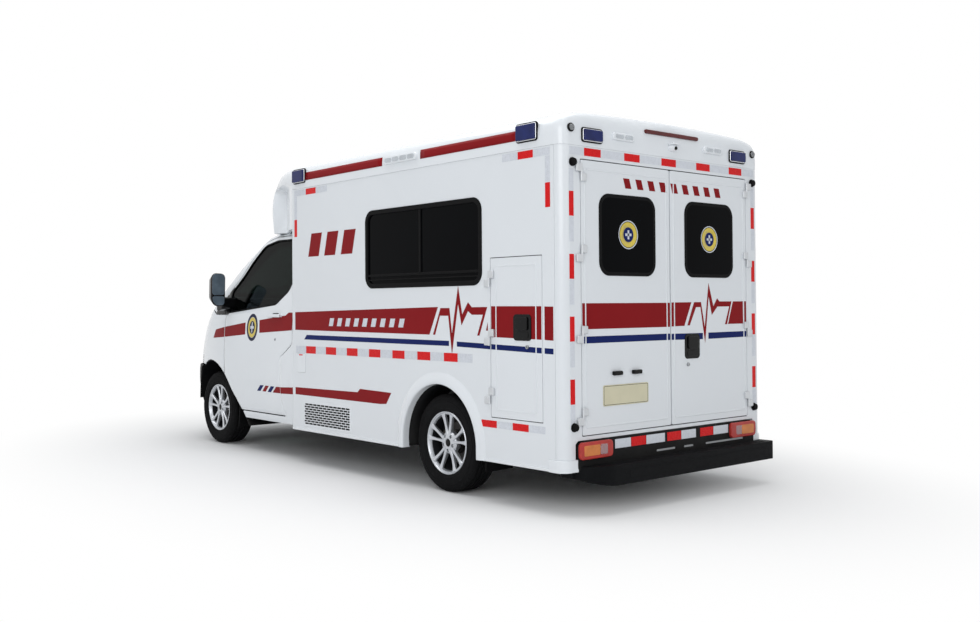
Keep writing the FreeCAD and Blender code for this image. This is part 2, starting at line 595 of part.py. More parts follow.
def roof_form(inset):
    """Outer form of the roof cap with its over-cab fairing, moved inwards by inset."""
    wide = BOX_HALF + 5
    section = [(wide, FAIRING_Z, 0), (wide, ROOF_EDGE_Z - 40, 60), (BOX_HALF - 90, ROOF_EDGE_Z, 200),
               (0, ROOF_Z, 0)]
    section = section + [(-y, z, r) for y, z, r in reversed(section[:-1])]
    nose = FAIRING_NOSE
    side = [(BOX_REAR, FAIRING_Z, 0), (BOX_REAR, ROOF_Z + 20, 45), (AXLE + 2480, ROOF_Z + 20, 500),
            (nose - 95, 2520, 150), (nose, 2290, 120), (nose - 40, FAIRING_Z, 0)]
    plan = [(BOX_REAR, -BOX_HALF, POST - 2), (AXLE + 2200, -BOX_HALF, 300), (nose - 100, -900, 160),
            (nose, -500, 400), (nose, 500, 400), (nose - 100, 900, 160), (AXLE + 2200, BOX_HALF, 300),
            (BOX_REAR, BOX_HALF, POST - 2)]
    form = prism(section, "yz", BOX_REAR, nose + 50, inset)
    form = form.common(prism(side, "xz", -1200, 1200, inset))
    return form.common(prism(plan, "xy", 2000, 2800, inset))


def roof():
    """Hollow roof cap: open below over the box, closed below over the cab."""
    outer = roof_form(0)
    inner = roof_form(ROOF_T)
    under_box = block(BOX_REAR - 10, BOX_FRONT, -1200, 1200, 1900, SEAM_Z)
    shell = outer.cut(inner).cut(under_box)
    sole = outer.common(block(BOX_FRONT, AXLE + 3000, -1200, 1200, FAIRING_Z, FAIRING_Z + ROOF_T))
    skirt = outer.common(block(BOX_FRONT, BOX_FRONT + ROOF_T, -1200, 1200, FAIRING_Z, SEAM_Z + 5))
    return fuse([shell, sole, skirt])


def rear_step():
    """Black back plate under the doors and the step bumper in front of it."""
    back = block(BOX_REAR - 14, BOX_REAR + 40, -950, 950, 300, 478)
    bed = [(BOX_REAR - 14, -1050, 0), (BOX_REAR - 132, -1050, 100), (BOX_REAR - 132, 1050, 100),
           (BOX_REAR - 14, 1050, 0)]
    step = prism(bed, "xy", 182, 325)
    arms = [block(BOX_REAR - 10, BOX_REAR + 200, s * 395 - 30, s * 395 + 30, 320, 468) for s in (1, -1)]
    return fuse([back, step] + arms)


# Lamps on the body box: kind, x or y from, to, z from, to.
SIDE_BEACONS = [(AXLE + 1860, AXLE + 2070), (AXLE - 1071, AXLE - 868)]
SIDE_BEACON_Z = (2433.0, 2559.0)
REAR_BEACON_Y = (690.0, 890.0)
REAR_BEACON_Z = (2415.0, 2512.0)
BEACON_OUT = 34.0


def beacons():
    """Blue lamps: two on each side of the roof cap, two on its back and two on its nose."""
    lamps = []
    for x0, x1 in SIDE_BEACONS:
        z0, z1 = SIDE_BEACON_Z
        lamp = block(x0, x1, BOX_HALF + 0.5, BOX_HALF + BEACON_OUT, z0, z1)
        lamps += [lamp, mirrored(lamp)]
    y0, y1 = REAR_BEACON_Y
    z0, z1 = REAR_BEACON_Z
    lamp = block(BOX_REAR - BEACON_OUT, BOX_REAR - 0.5, y0, y1, z0, z1)
    lamps += [lamp, mirrored(lamp)]
    bar = block(FAIRING_NOSE - 60, FAIRING_NOSE + 26, 180, 480, 2330, 2420)
    bar = bar.cut(roof_form(0))
    lamps += [bar, mirrored(bar)]
    return Part.makeCompound(lamps)


def tail_lamps():
    lamp = block(BOX_REAR - 38, BOX_REAR - 14.5, 640, 945, 362, 474)
    return both(lamp)


def main():
    os.makedirs("parts", exist_ok=True)
    pieces = cab_pieces()
    left_door = pieces.pop("cab_door_left")
    left_glass = pieces.pop("cab_glass_left")
    for name, side in (("left", 1), ("right", -1)):
        door = left_door if side > 0 else mirrored(left_door)
        glass = left_glass if side > 0 else mirrored(left_glass)
        door_mirror = mirror_head(side)
        save("cab_door_" + name, fuse([door, door_mirror.cut(cab_inner_block(side))]))
        save("cab_door_glass_" + name, glass.cut(door_mirror))
        panel, pane = rear_door(side)
        save("rear_door_" + name, panel)
        save("rear_door_glass_" + name, pane)
        save("knuckle_" + name, knuckle(side))
        save("front_tyre_" + name, tyre(FRONT, side * FRONT_TRACK_Y))
        save("front_rim_" + name, rim(FRONT, side * FRONT_TRACK_Y, side))
        save("rear_tyre_" + name, tyre(AXLE, side * REAR_TRACK_Y))
        save("rear_rim_" + name, rim(AXLE, side * REAR_TRACK_Y, side))
    for name, shape in pieces.items():
        save(name, shape)
    panel, pane = side_door()
    save("side_door", panel)
    save("side_door_glass", pane)
    for build in (dashboard, cab_seats, front_suspension, rear_axle, leaf_springs, chassis_rails,
                  crossmembers, engine, exhaust, fuel_tank, left_wall, right_wall, side_windows,
                  locker_door, rear_frame, front_wall, box_floor, roof, rear_step, beacons, tail_lamps):
        save(build.__name__, build())


def cab_inner_block(side):
    """The space inside the doors' outer skin, which the mirror's foot does not enter."""
    return cab_form(20)


main()
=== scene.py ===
"""Box-body ambulance on a light van cab: its outside, cab and running gear, built round the CAD parts."""
import math

import bmesh
import bpy
import numpy as np
from mathutils import Matrix, Vector


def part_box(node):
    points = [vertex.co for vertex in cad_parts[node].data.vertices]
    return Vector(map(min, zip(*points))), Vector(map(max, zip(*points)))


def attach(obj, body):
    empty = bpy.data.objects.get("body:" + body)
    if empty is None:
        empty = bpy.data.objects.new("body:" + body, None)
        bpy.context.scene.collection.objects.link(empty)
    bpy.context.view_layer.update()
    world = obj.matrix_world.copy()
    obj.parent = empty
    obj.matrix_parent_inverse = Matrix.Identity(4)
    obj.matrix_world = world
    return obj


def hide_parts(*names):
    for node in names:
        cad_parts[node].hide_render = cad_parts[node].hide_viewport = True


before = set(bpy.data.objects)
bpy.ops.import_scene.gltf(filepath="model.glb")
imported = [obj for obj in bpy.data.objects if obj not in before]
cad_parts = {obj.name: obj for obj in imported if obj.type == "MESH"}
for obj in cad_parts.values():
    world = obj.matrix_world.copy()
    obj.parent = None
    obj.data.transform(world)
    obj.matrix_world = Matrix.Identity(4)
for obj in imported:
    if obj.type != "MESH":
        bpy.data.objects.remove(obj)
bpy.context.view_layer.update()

bl_info = {
    "name": "Box-body ambulance",
    "version": (1, 0, 0),
    "blender": (4, 5, 0),
    "location": "View3D > Sidebar > Ambulance",
    "description": "Builds the visible pieces of a box-body ambulance round its CAD frame",
    "category": "Add Mesh",
}


def middle(node, axis):
    low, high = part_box(node)
    return (low[axis] + high[axis]) / 2


# Places read from the frame, in metres.
AXLE = middle("rear_tyre_left", 0)
FRONT = middle("front_tyre_left", 0)
TYRE_R = middle("rear_tyre_left", 2)
REAR_Y = middle("rear_tyre_left", 1)
FRONT_Y = middle("front_tyre_left", 1)
BOX_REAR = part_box("rear_frame")[0][0]
BOX_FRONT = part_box("front_wall")[1][0]
SIDE_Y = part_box("locker_door")[1][1]
SKIRT_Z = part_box("right_wall")[0][2]
SEAM_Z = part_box("rear_frame")[1][2]
ROOF_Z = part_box("roof")[1][2]
FLOOR_Z = 0.65


# ---- plain modelling steps ----
def rest():
    """Back to object mode with nothing selected."""
    active = bpy.context.object
    if active and active.mode != "OBJECT":
        bpy.ops.object.mode_set(mode="OBJECT")
    bpy.ops.object.select_all(action="DESELECT")


def pick(*objects):
    rest()
    for obj in objects:
        obj.select_set(True)
    bpy.context.view_layer.objects.active = objects[0]
    return objects[0]


def called(obj, name):
    obj.name = obj.data.name = name
    return obj


def named(name):
    """Names the new primitive and moves its place and size into its mesh."""
    bpy.ops.object.transform_apply(location=True, rotation=True, scale=True)
    return called(bpy.context.object, name)


def modify(obj, kind, **settings):
    """Adds a modifier and applies it."""
    pick(obj)
    bpy.ops.object.modifier_add(type=kind)
    step = obj.modifiers[-1]
    for key, value in settings.items():
        setattr(step, key, value)
    bpy.ops.object.modifier_apply(modifier=step.name)
    return obj


def smooth(obj, angle=35):
    pick(obj)
    bpy.ops.object.shade_smooth_by_angle(angle=math.radians(angle))
    return obj


def soften(obj, width=0.002, steps=2, angle=35):
    """Rounds the sharp edges and keeps the flat faces flat."""
    modify(obj, "BEVEL", width=width, segments=steps, limit_method="ANGLE",
           angle_limit=math.radians(angle), use_clamp_overlap=True)
    smooth(obj, 50)
    return modify(obj, "WEIGHTED_NORMAL", keep_sharp=True, weight=80)


def block(name, low, high, edge=0.0, steps=2):
    """Straight-sided piece between two corners, its edges rounded."""
    rest()
    centre = [(a + b) / 2 for a, b in zip(low, high)]
    size = [abs(b - a) for a, b in zip(low, high)]
    bpy.ops.mesh.primitive_cube_add(size=1, location=centre, scale=size)
    obj = named(name)
    return soften(obj, edge, steps) if edge else obj


TURNS = {"x": (0, math.pi / 2, 0), "y": (math.pi / 2, 0, 0), "z": (0, 0, 0)}


def rod(name, axis, centre, radius, length, edge=0.0, sides=32, top=None):
    """Round bar centred on a point; top gives the radius of its far end."""
    rest()
    bpy.ops.mesh.primitive_cone_add(vertices=sides, radius1=radius, radius2=radius if top is None else top,
                                    depth=length, location=centre, rotation=TURNS[axis])
    obj = named(name)
    return soften(obj, edge, 2) if edge else smooth(obj)


def outward(obj):
    """Merges doubled corners and points the faces outwards."""
    pick(obj)
    bpy.ops.object.mode_set(mode="EDIT")
    bpy.ops.mesh.select_all(action="SELECT")
    bpy.ops.mesh.remove_doubles(threshold=0.00002)
    bpy.ops.mesh.normals_make_consistent(inside=False)
    bpy.ops.object.mode_set(mode="OBJECT")
    return obj


def place(plane, u, v, level):
    """A point from its two places in a plane and its level across it."""
    return {"xz": (u, level, v), "yz": (level, u, v), "xy": (u, v, level)}[plane]


def outlined(name, outline, plane, level, fill="NGON"):
    """Flat face with the given corners."""
    rest()
    bpy.ops.mesh.primitive_circle_add(vertices=len(outline), fill_type=fill)
    obj = named(name)
    for vert, (u, v) in zip(obj.data.vertices, outline):
        vert.co = place(plane, u, v, level)
    return obj


def plates(name, outlines, plane, low, high, edge=0.0, steps=2):
    """Flat plates with the given outlines, drawn out from one level to another."""
    parts = []
    for outline in outlines:
        obj = outlined(name, outline, plane, low)
        pick(obj)
        bpy.ops.object.mode_set(mode="EDIT")
        bpy.ops.mesh.select_all(action="SELECT")
        bpy.ops.mesh.extrude_region_move(TRANSFORM_OT_translate={"value": place(plane, 0, 0, high - low)})
        bpy.ops.object.mode_set(mode="OBJECT")
        parts.append(outward(obj))
    obj = joined(name, parts)
    return soften(obj, edge, steps) if edge else smooth(obj, 30)


def rounded(corners, step=14):
    """Outline through corners given as u, v, radius."""
    points = []
    count = len(corners)
    for i, (u, v, radius) in enumerate(corners):
        here = Vector((u, v))
        back = Vector(corners[i - 1][:2]) - here
        ahead = Vector(corners[(i + 1) % count][:2]) - here
        back.normalize()
        ahead.normalize()
        turn = math.pi - back.angle(ahead)
        if radius <= 0 or turn < 0.01:
            points.append((u, v))
            continue
        reach = radius * math.tan(turn / 2)
        bisector = (back + ahead).normalized()
        centre = here + bisector * (radius / math.cos(turn / 2))
        start = here + back * reach - centre
        sign = 1 if back.x * ahead.y - back.y * ahead.x < 0 else -1
        pieces = max(1, round(math.degrees(turn) / step))
        for k in range(pieces + 1):
            angle = sign * turn * k / pieces
            cos, sin = math.cos(angle), math.sin(angle)
            points.append((centre.x + start.x * cos - start.y * sin, centre.y + start.x * sin + start.y * cos))
    return points


def oblong(u0, u1, v0, v1, radius=0.0, step=14):
    return rounded([(u0, v0, radius), (u1, v0, radius), (u1, v1, radius), (u0, v1, radius)], step)


def flowing(points, steps=8):
    """A smooth curve through the given points."""
    p = np.array([points[0], *points, points[-1]], float)
    out = []
    for i in range(1, len(p) - 2):
        for t in np.arange(0, 1, 1 / steps):
            out.append(0.5 * (2 * p[i] + (p[i + 1] - p[i - 1]) * t
                              + (2 * p[i - 1] - 5 * p[i] + 4 * p[i + 1] - p[i + 2]) * t ** 2
                              + (3 * p[i] - p[i - 1] - 3 * p[i + 1] + p[i + 2]) * t ** 3))
    return [tuple(q) for q in out] + [tuple(points[-1])]


def area(loop):
    return sum(a[0] * b[1] - b[0] * a[1] for a, b in zip(loop, loop[1:] + loop[:1])) / 2


def inset(loop, distance):
    """The outline moved inwards; outwards where the distance is negative."""
    if area(loop) < 0:
        loop = loop[::-1]
    moved = []
    for i, here in enumerate(loop):
        a, b, c = Vector(loop[i - 1]), Vector(here), Vector(loop[(i + 1) % len(loop)])
        one, two = (b - a).normalized(), (c - b).normalized()
        n1, n2 = Vector((-one.y, one.x)), Vector((-two.y, two.x))
        moved.append(tuple(b + (n1 + n2) * distance / max(0.25, 1 + n1.dot(n2))))
    return moved


def cut(obj, *tools):
    """Takes the tools' shapes out of a piece."""
    for tool in tools:
        modify(obj, "BOOLEAN", object=tool, operation="DIFFERENCE", solver="EXACT")
        bpy.data.objects.remove(tool)
    return obj


def pierce(obj, plane, low, high, *outlines):
    """Cuts holes with the given outlines through a piece, from one level to another."""
    return cut(obj, *[plates("tool", [outline], plane, low, high) for outline in outlines])


def joined(name, objects):
    pick(*objects)
    if len(objects) > 1:
        bpy.ops.object.join()
    return called(bpy.context.object, name)


def copied(obj, name, shift=(0, 0, 0)):
    """The same mesh once more, moved."""
    pick(obj)
    bpy.ops.object.duplicate()
    twin = named(name)
    twin.data.transform(Matrix.Translation(shift))
    return twin


def handed(obj, side):
    """Moves a left-hand piece to the right where side is -1."""
    if side < 0:
        obj.data.transform(Matrix.Diagonal((1, -1, 1, 1)))
        obj.data.flip_normals()
    return obj


def turned(obj, angle, axis, centre):
    """Turns a piece about a line through a point."""
    move = Matrix.Translation(centre) @ Matrix.Rotation(angle, 4, axis) @ Matrix.Translation([-c for c in centre])
    obj.data.transform(move)
    return obj


def lofted(name, rows, wrap=False, ring=False, angle=35):
    """Sheet laid through rows of points; wrap joins the last row to the first, ring closes each row."""
    if ring:
        rows = [list(row) + [row[0]] for row in rows]
    if wrap:
        rows = list(rows) + [rows[0]]
    width = len(rows[0])
    rest()
    bpy.ops.mesh.primitive_grid_add(x_subdivisions=width - 1, y_subdivisions=len(rows) - 1)
    obj = named(name)
    for vert, point in zip(obj.data.vertices, (p for row in rows for p in row)):
        vert.co = point
    if ring and not wrap:
        pick(obj)
        bpy.ops.object.mode_set(mode="EDIT")
        bpy.ops.mesh.select_all(action="SELECT")
        bpy.ops.mesh.remove_doubles(threshold=0.00002)
        bpy.ops.mesh.fill_holes(sides=0)
        bpy.ops.object.mode_set(mode="OBJECT")
    return smooth(outward(obj), angle)


def lathe(name, profile, centre, steps=72, angle=35):
    """Turned piece about a line along Y; the profile is a closed ring of radius, y."""
    obj = outlined(name, [(centre[0] + r, centre[1] + y) for r, y in profile], "xy", centre[2], "NOTHING")
    pick(obj)
    bpy.ops.object.mode_set(mode="EDIT")
    bpy.ops.mesh.select_all(action="SELECT")
    bpy.ops.mesh.spin(steps=steps, angle=2 * math.pi, center=centre, axis=(0, 1, 0))
    bpy.ops.object.mode_set(mode="OBJECT")
    return smooth(outward(obj), angle)


def dress(obj, body, slot, *materials, replaces=()):
    """Gives a piece its materials, the body it moves with and the CAD nodes it stands for."""
    while len(obj.data.materials) < len(materials):
        obj.data.materials.append(None)
    for i, material in enumerate(materials):
        obj.data.materials[i] = material
    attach(obj, body)
    if replaces:
        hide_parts(*replaces)
    return obj


# ---- curved forms: negative inside, positive outside ----
def soft_max(a, b, k):
    blend = np.maximum(k - np.abs(a - b), 0) / k
    return np.maximum(a, b) + blend * blend * k / 4


SIDE_LINE = ((0.285, 0.56, 0.80, 0.98, 1.20, 1.36, 1.985, 2.30),
             (0.988, 1.029, 1.037, 1.036, 1.023, 1.004, 0.838, 0.745))


def cab_form(p):
    """Outside of the cab: sides, flanks, nose, bonnet, windscreen and roof blended together."""
    x, y, z = p[:, 0] - AXLE, np.abs(p[:, 1]), p[:, 2]
    half = sum(np.interp(z + d, *SIDE_LINE) for d in (-0.08, -0.04, 0, 0.04, 0.08)) / 5
    flank = ((x - 4.0) * 0.24 + (y - 1.04) * 0.5) / 0.5546
    back = x + 0.25 * y ** 2 + 0.25 * y ** 4
    nose = back - 4.772
    brow = (5.25 * (back - 4.732) + (z - 0.90)) / 5.344
    lip = (1.5 * (back - 4.572) + (z - 1.14)) / 1.803
    chin = (0.115 * (back - 4.77) - 0.13 * (z - 0.40)) / 0.1736
    fall = y ** 2 / 7.8
    flat = 1 - 0.55 * np.clip((z - 1.40) / 0.35, 0, 1)
    screen = (z + fall * 1.19 * flat - 1.430 + 0.649 * (x - 3.99)) * 0.8387
    bonnet = (z + fall * 1.14 - 1.416 + 0.554 * (x - 3.99)) * 0.8748
    roof = z + y ** 2 * 0.03 - 2.099
    top = soft_max(-soft_max(-screen, -bonnet, 0.02), roof, 0.12)
    sides = soft_max(y - half, flank, 0.25)
    front = soft_max(soft_max(soft_max(nose, brow, 0.08), lip, 0.10), chin, 0.08)
    return soft_max(soft_max(sides, top, 0.09), front, 0.16)


def from_side(uv):
    """Rays outwards to the left; u, v are x and z."""
    start = np.column_stack((uv[:, 0], np.full(len(uv), 0.2), uv[:, 1]))
    return start, np.tile((0.0, 1.0, 0.0), (len(uv), 1))


def from_above(uv):
    """Rays upwards; u, v are x and y."""
    start = np.column_stack((uv[:, 0], uv[:, 1], np.full(len(uv), 0.6)))
    return start, np.tile((0.0, 0.0, 1.0), (len(uv), 1))


def from_front(uv):
    """Rays forwards; u, v are y and z."""
    start = np.column_stack((np.full(len(uv), AXLE + 2.3), uv[:, 0], uv[:, 1]))
    return start, np.tile((1.0, 0.0, 0.0), (len(uv), 1))


ARC = 0.8


def from_spine(uv):
    """Rays across a line along the cab; u is x and v an arc length about the line."""
    turn = uv[:, 1] / ARC
    start = np.column_stack((uv[:, 0], np.zeros(len(uv)), np.full(len(uv), 0.95)))
    return start, np.column_stack((np.zeros(len(uv)), np.cos(turn), np.sin(turn)))


def from_mast(uv):
    """Rays across an upright line in the engine bay; u is an arc length about it and v is z."""
    turn = uv[:, 0] / ARC
    start = np.column_stack((np.full(len(uv), AXLE + 3.85), np.zeros(len(uv)), uv[:, 1]))
    return start, np.column_stack((np.cos(turn), np.sin(turn), np.zeros(len(uv))))


def leave(form, start, way, furthest=4.0, halvings=36):
    """Points where rays leave a form, found by halving."""
    near, far = np.zeros(len(start)), np.full(len(start), furthest)
    for _ in range(halvings):
        mid = (near + far) / 2
        inside = form(start + way * mid[:, None]) < 0
        near, far = np.where(inside, mid, near), np.where(inside, far, mid)
    return start + way * near[:, None]


def meet(form, ray, uv):
    """Points where the rays leave the form, and the directions square to it there."""
    points = leave(form, *ray(np.asarray(uv, dtype=float).reshape(-1, 2)))
    normal = np.column_stack([form(points + 1e-4 * axis) - form(points - 1e-4 * axis) for axis in np.eye(3)])
    return points, normal / np.linalg.norm(normal, axis=1)[:, None]


def on_spine(points):
    """Spine coordinates of points on a form."""
    return [(p[0], ARC * math.atan2(p[2] - 0.95, p[1])) for p in points]


def on_mast(points):
    return [(ARC * math.atan2(p[1], p[0] - AXLE - 3.85), p[2]) for p in points]


def trimmed(loop, hole, rims):
    """Flat sheet inside an outline, with rings along its edges; z holds how deep each ring lies."""
    bm = bmesh.new()

    def ring(outline, outwards):
        sign = -1 if outwards else 1
        return [[bm.verts.new((u, v, -deep)) for u, v in inset(outline, sign * away)] for away, deep in rims]

    def band(rings):
        for one, two in zip(rings, rings[1:]):
            for i in range(len(one)):
                j = (i + 1) % len(one)
                bm.faces.new((one[i], one[j], two[j], two[i]))

    outer = ring(loop, False)
    band(outer)
    last = outer[-1]
    if hole:
        inner = ring(hole, True)
        band(inner[::-1])
        edge = inner[-1]
        high = max(range(len(edge)), key=lambda i: edge[i].co.y)
        low = min(range(len(edge)), key=lambda i: edge[i].co.y)
        top = min(range(len(last)), key=lambda i: (last[i].co - edge[high].co).length)
        foot = min(range(len(last)), key=lambda i: (last[i].co - edge[low].co).length)

        def run(ring_, a, b):
            out = [ring_[a]]
            while a != b:
                a = (a + 1) % len(ring_)
                out.append(ring_[a])
            return out
        bm.faces.new(run(last, top, foot) + run(edge, high, low)[::-1])
        bm.faces.new(run(last, foot, top) + run(edge, low, high)[::-1])
    else:
        bm.faces.new(last)
    return bm


def skin(name, form, ray, loop, hole=None, rim=0.004, cell=0.05, rows=(), columns=(), thick=0.02, depth=0.0,
         press=None, angle=30):
    """Panel cut to an outline and laid on a curved form, with a rounded rim and the given thickness."""
    rims = [(0, rim), (0.07 * rim, 0.633 * rim), (0.3 * rim, 0.286 * rim), (rim, 0)] if rim else [(0, 0)]
    bm = trimmed(loop, hole, rims)
    us, vs = [p[0] for p in loop], [p[1] for p in loop]
    for axis, values, extra in ((0, us, columns), (1, vs, rows)):
        low, high = min(values), max(values)
        count = max(1, round((high - low) / cell))
        lines = [low + (high - low) * i / count for i in range(1, count)] + list(extra)
        way = [0, 0, 0]
        way[axis] = 1
        for line in lines:
            spot = [0, 0, 0]
            spot[axis] = line
            bmesh.ops.bisect_plane(bm, geom=bm.verts[:] + bm.edges[:] + bm.faces[:], plane_co=spot, plane_no=way)
    bmesh.ops.triangulate(bm, faces=[f for f in bm.faces if len(f.verts) > 4])
    flat = np.array([v.co for v in bm.verts])
    points, normals = meet(form, ray, flat[:, :2])
    sunk = depth - flat[:, 2]
    if press:
        sunk = sunk + press(points)
    points = points - normals * sunk[:, None]
    bm.verts.index_update()
    for vert, point in zip(bm.verts, points):
        vert.co = point
    bm.normal_update()
    bm.faces.ensure_lookup_table()
    facing = sum(f.normal.dot(Vector(normals[f.verts[0].index])) * f.calc_area() for f in bm.faces)
    if facing < 0:
        bmesh.ops.reverse_faces(bm, faces=bm.faces[:])
    mesh = bpy.data.meshes.new(name)
    bm.to_mesh(mesh)
    bm.free()
    obj = bpy.data.objects.new(name, mesh)
    bpy.context.scene.collection.objects.link(obj)
    obj.data.materials.append(None)
    obj.data.materials.append(None)
    if thick:
        modify(obj, "SOLIDIFY", thickness=thick, offset=-1, use_even_offset=False, material_offset=1)
    return smooth(obj, angle)


# ---- finishes ----
MIX_A, MIX_B, MIX_OUT = 6, 7, 2        # the colour sockets of a Mix node
ROAD_DUST = (0.30, 0.27, 0.23, 1)


def node(tree, kind, **values):
    """A shader node with its settings and the inputs that nothing is linked to."""
    made = tree.nodes.new(kind)
    for key, value in values.items():
        if hasattr(made, key):
            setattr(made, key, value)
        else:
            made.inputs[key.replace("_", " ")].default_value = value
    return made


def shade(name, colour, rough, metal=0.0, vary=0.05, patch=4.0, grain=0.0, fine=900.0, dust=0.0,
          stretch=(1, 1, 1), uneven=0.06, **sockets):
    """A finish with patches of slightly different colour and gloss, a fine grain and dust near the ground."""
    material = bpy.data.materials.new(name)
    material.use_nodes = True
    tree = material.node_tree
    link = tree.links.new
    body = tree.nodes["Principled BSDF"]
    body.inputs["Metallic"].default_value = metal
    for socket, value in sockets.items():
        body.inputs[socket.replace("_", " ")].default_value = value
    where = node(tree, "ShaderNodeTexCoord")
    turn = node(tree, "ShaderNodeMapping", Scale=stretch)
    link(where.outputs["Object"], turn.inputs["Vector"])
    patches = node(tree, "ShaderNodeTexNoise", Scale=patch, Detail=3.0, Roughness=0.6)
    link(turn.outputs[0], patches.inputs["Vector"])
    tint = node(tree, "ShaderNodeValToRGB")
    ramp = tint.color_ramp.elements
    ramp[0].position, ramp[1].position = 0.32, 0.68
    ramp[0].color = [c * (1 - vary) for c in colour] + [1]
    ramp[1].color = [min(1, c * (1 + vary)) for c in colour] + [1]
    link(patches.outputs[0], tint.inputs[0])
    last = tint.outputs[0]
    if dust:
        split = node(tree, "ShaderNodeSeparateXYZ")
        link(where.outputs["Object"], split.inputs[0])
        low = node(tree, "ShaderNodeMapRange", From_Min=0.75, From_Max=0.15, To_Min=0.0, To_Max=dust)
        link(split.outputs["Z"], low.inputs["Value"])
        cloud = node(tree, "ShaderNodeMath", operation="MULTIPLY")
        link(low.outputs[0], cloud.inputs[0])
        link(patches.outputs[0], cloud.inputs[1])
        film = node(tree, "ShaderNodeMix", data_type="RGBA")
        film.inputs[MIX_B].default_value = ROAD_DUST
        link(cloud.outputs[0], film.inputs[0])
        link(last, film.inputs[MIX_A])
        last = film.outputs[MIX_OUT]
    link(last, body.inputs["Base Color"])
    wear = node(tree, "ShaderNodeTexNoise", Scale=patch * 7, Detail=4.0)
    link(turn.outputs[0], wear.inputs["Vector"])
    gloss = node(tree, "ShaderNodeMapRange", From_Min=0.3, From_Max=0.7,
                 To_Min=max(0.02, rough - uneven), To_Max=min(1, rough + uneven))
    link(wear.outputs[0], gloss.inputs["Value"])
    link(gloss.outputs[0], body.inputs["Roughness"])
    if grain:
        pores = node(tree, "ShaderNodeTexNoise", Scale=fine, Detail=2.0)
        link(turn.outputs[0], pores.inputs["Vector"])
        bump = node(tree, "ShaderNodeBump", Strength=grain, Distance=0.0006)
        link(pores.outputs[0], bump.inputs["Height"])
        link(bump.outputs[0], body.inputs["Normal"])
    return material


def cells(name, colour, across, rough=0.28):
    """Reflective sheeting: small bright cells between slightly darker welds."""
    material = shade(name, colour, rough, vary=0.04, patch=40, Specular_IOR_Level=0.16)
    tree = material.node_tree
    link = tree.links.new
    base = tree.nodes["Principled BSDF"].inputs["Base Color"]
    where = next(n for n in tree.nodes if n.type == "TEX_COORD")
    comb = node(tree, "ShaderNodeTexVoronoi", feature="DISTANCE_TO_EDGE", Scale=1 / across, Randomness=0.15)
    link(where.outputs["Object"], comb.inputs["Vector"])
    weld = node(tree, "ShaderNodeMapRange", From_Max=0.09, To_Min=0.88)
    link(comb.outputs["Distance"], weld.inputs["Value"])
    mix = node(tree, "ShaderNodeMix", data_type="RGBA", blend_type="MULTIPLY")
    mix.inputs[0].default_value = 1.0
    link(base.links[0].from_socket, mix.inputs[MIX_A])
    link(weld.outputs[0], mix.inputs[MIX_B])
    link(mix.outputs[MIX_OUT], base)
    return material


def ribbed(name, colour, rough, scale, axis, strength=0.4, **extra):
    """A finish with fine parallel ribs, as on lamp lenses and treads."""
    material = shade(name, colour, rough, **extra)
    tree = material.node_tree
    link = tree.links.new
    where = next(n for n in tree.nodes if n.type == "TEX_COORD")
    wave = node(tree, "ShaderNodeTexWave", bands_direction=axis, Scale=scale)
    bump = node(tree, "ShaderNodeBump", Strength=strength, Distance=0.001)
    link(where.outputs["Object"], wave.inputs["Vector"])
    link(wave.outputs["Fac"], bump.inputs["Height"])
    link(bump.outputs[0], tree.nodes["Principled BSDF"].inputs["Normal"])
    return material


def srgb(*levels):
    """Colour written as 0..255 display levels."""
    return [((v / 255 + 0.055) / 1.055) ** 2.4 if v > 10 else v / 255 / 12.92 for v in levels]


class Finishes:
    """Holds the mixed finishes by name."""


F = Finishes()


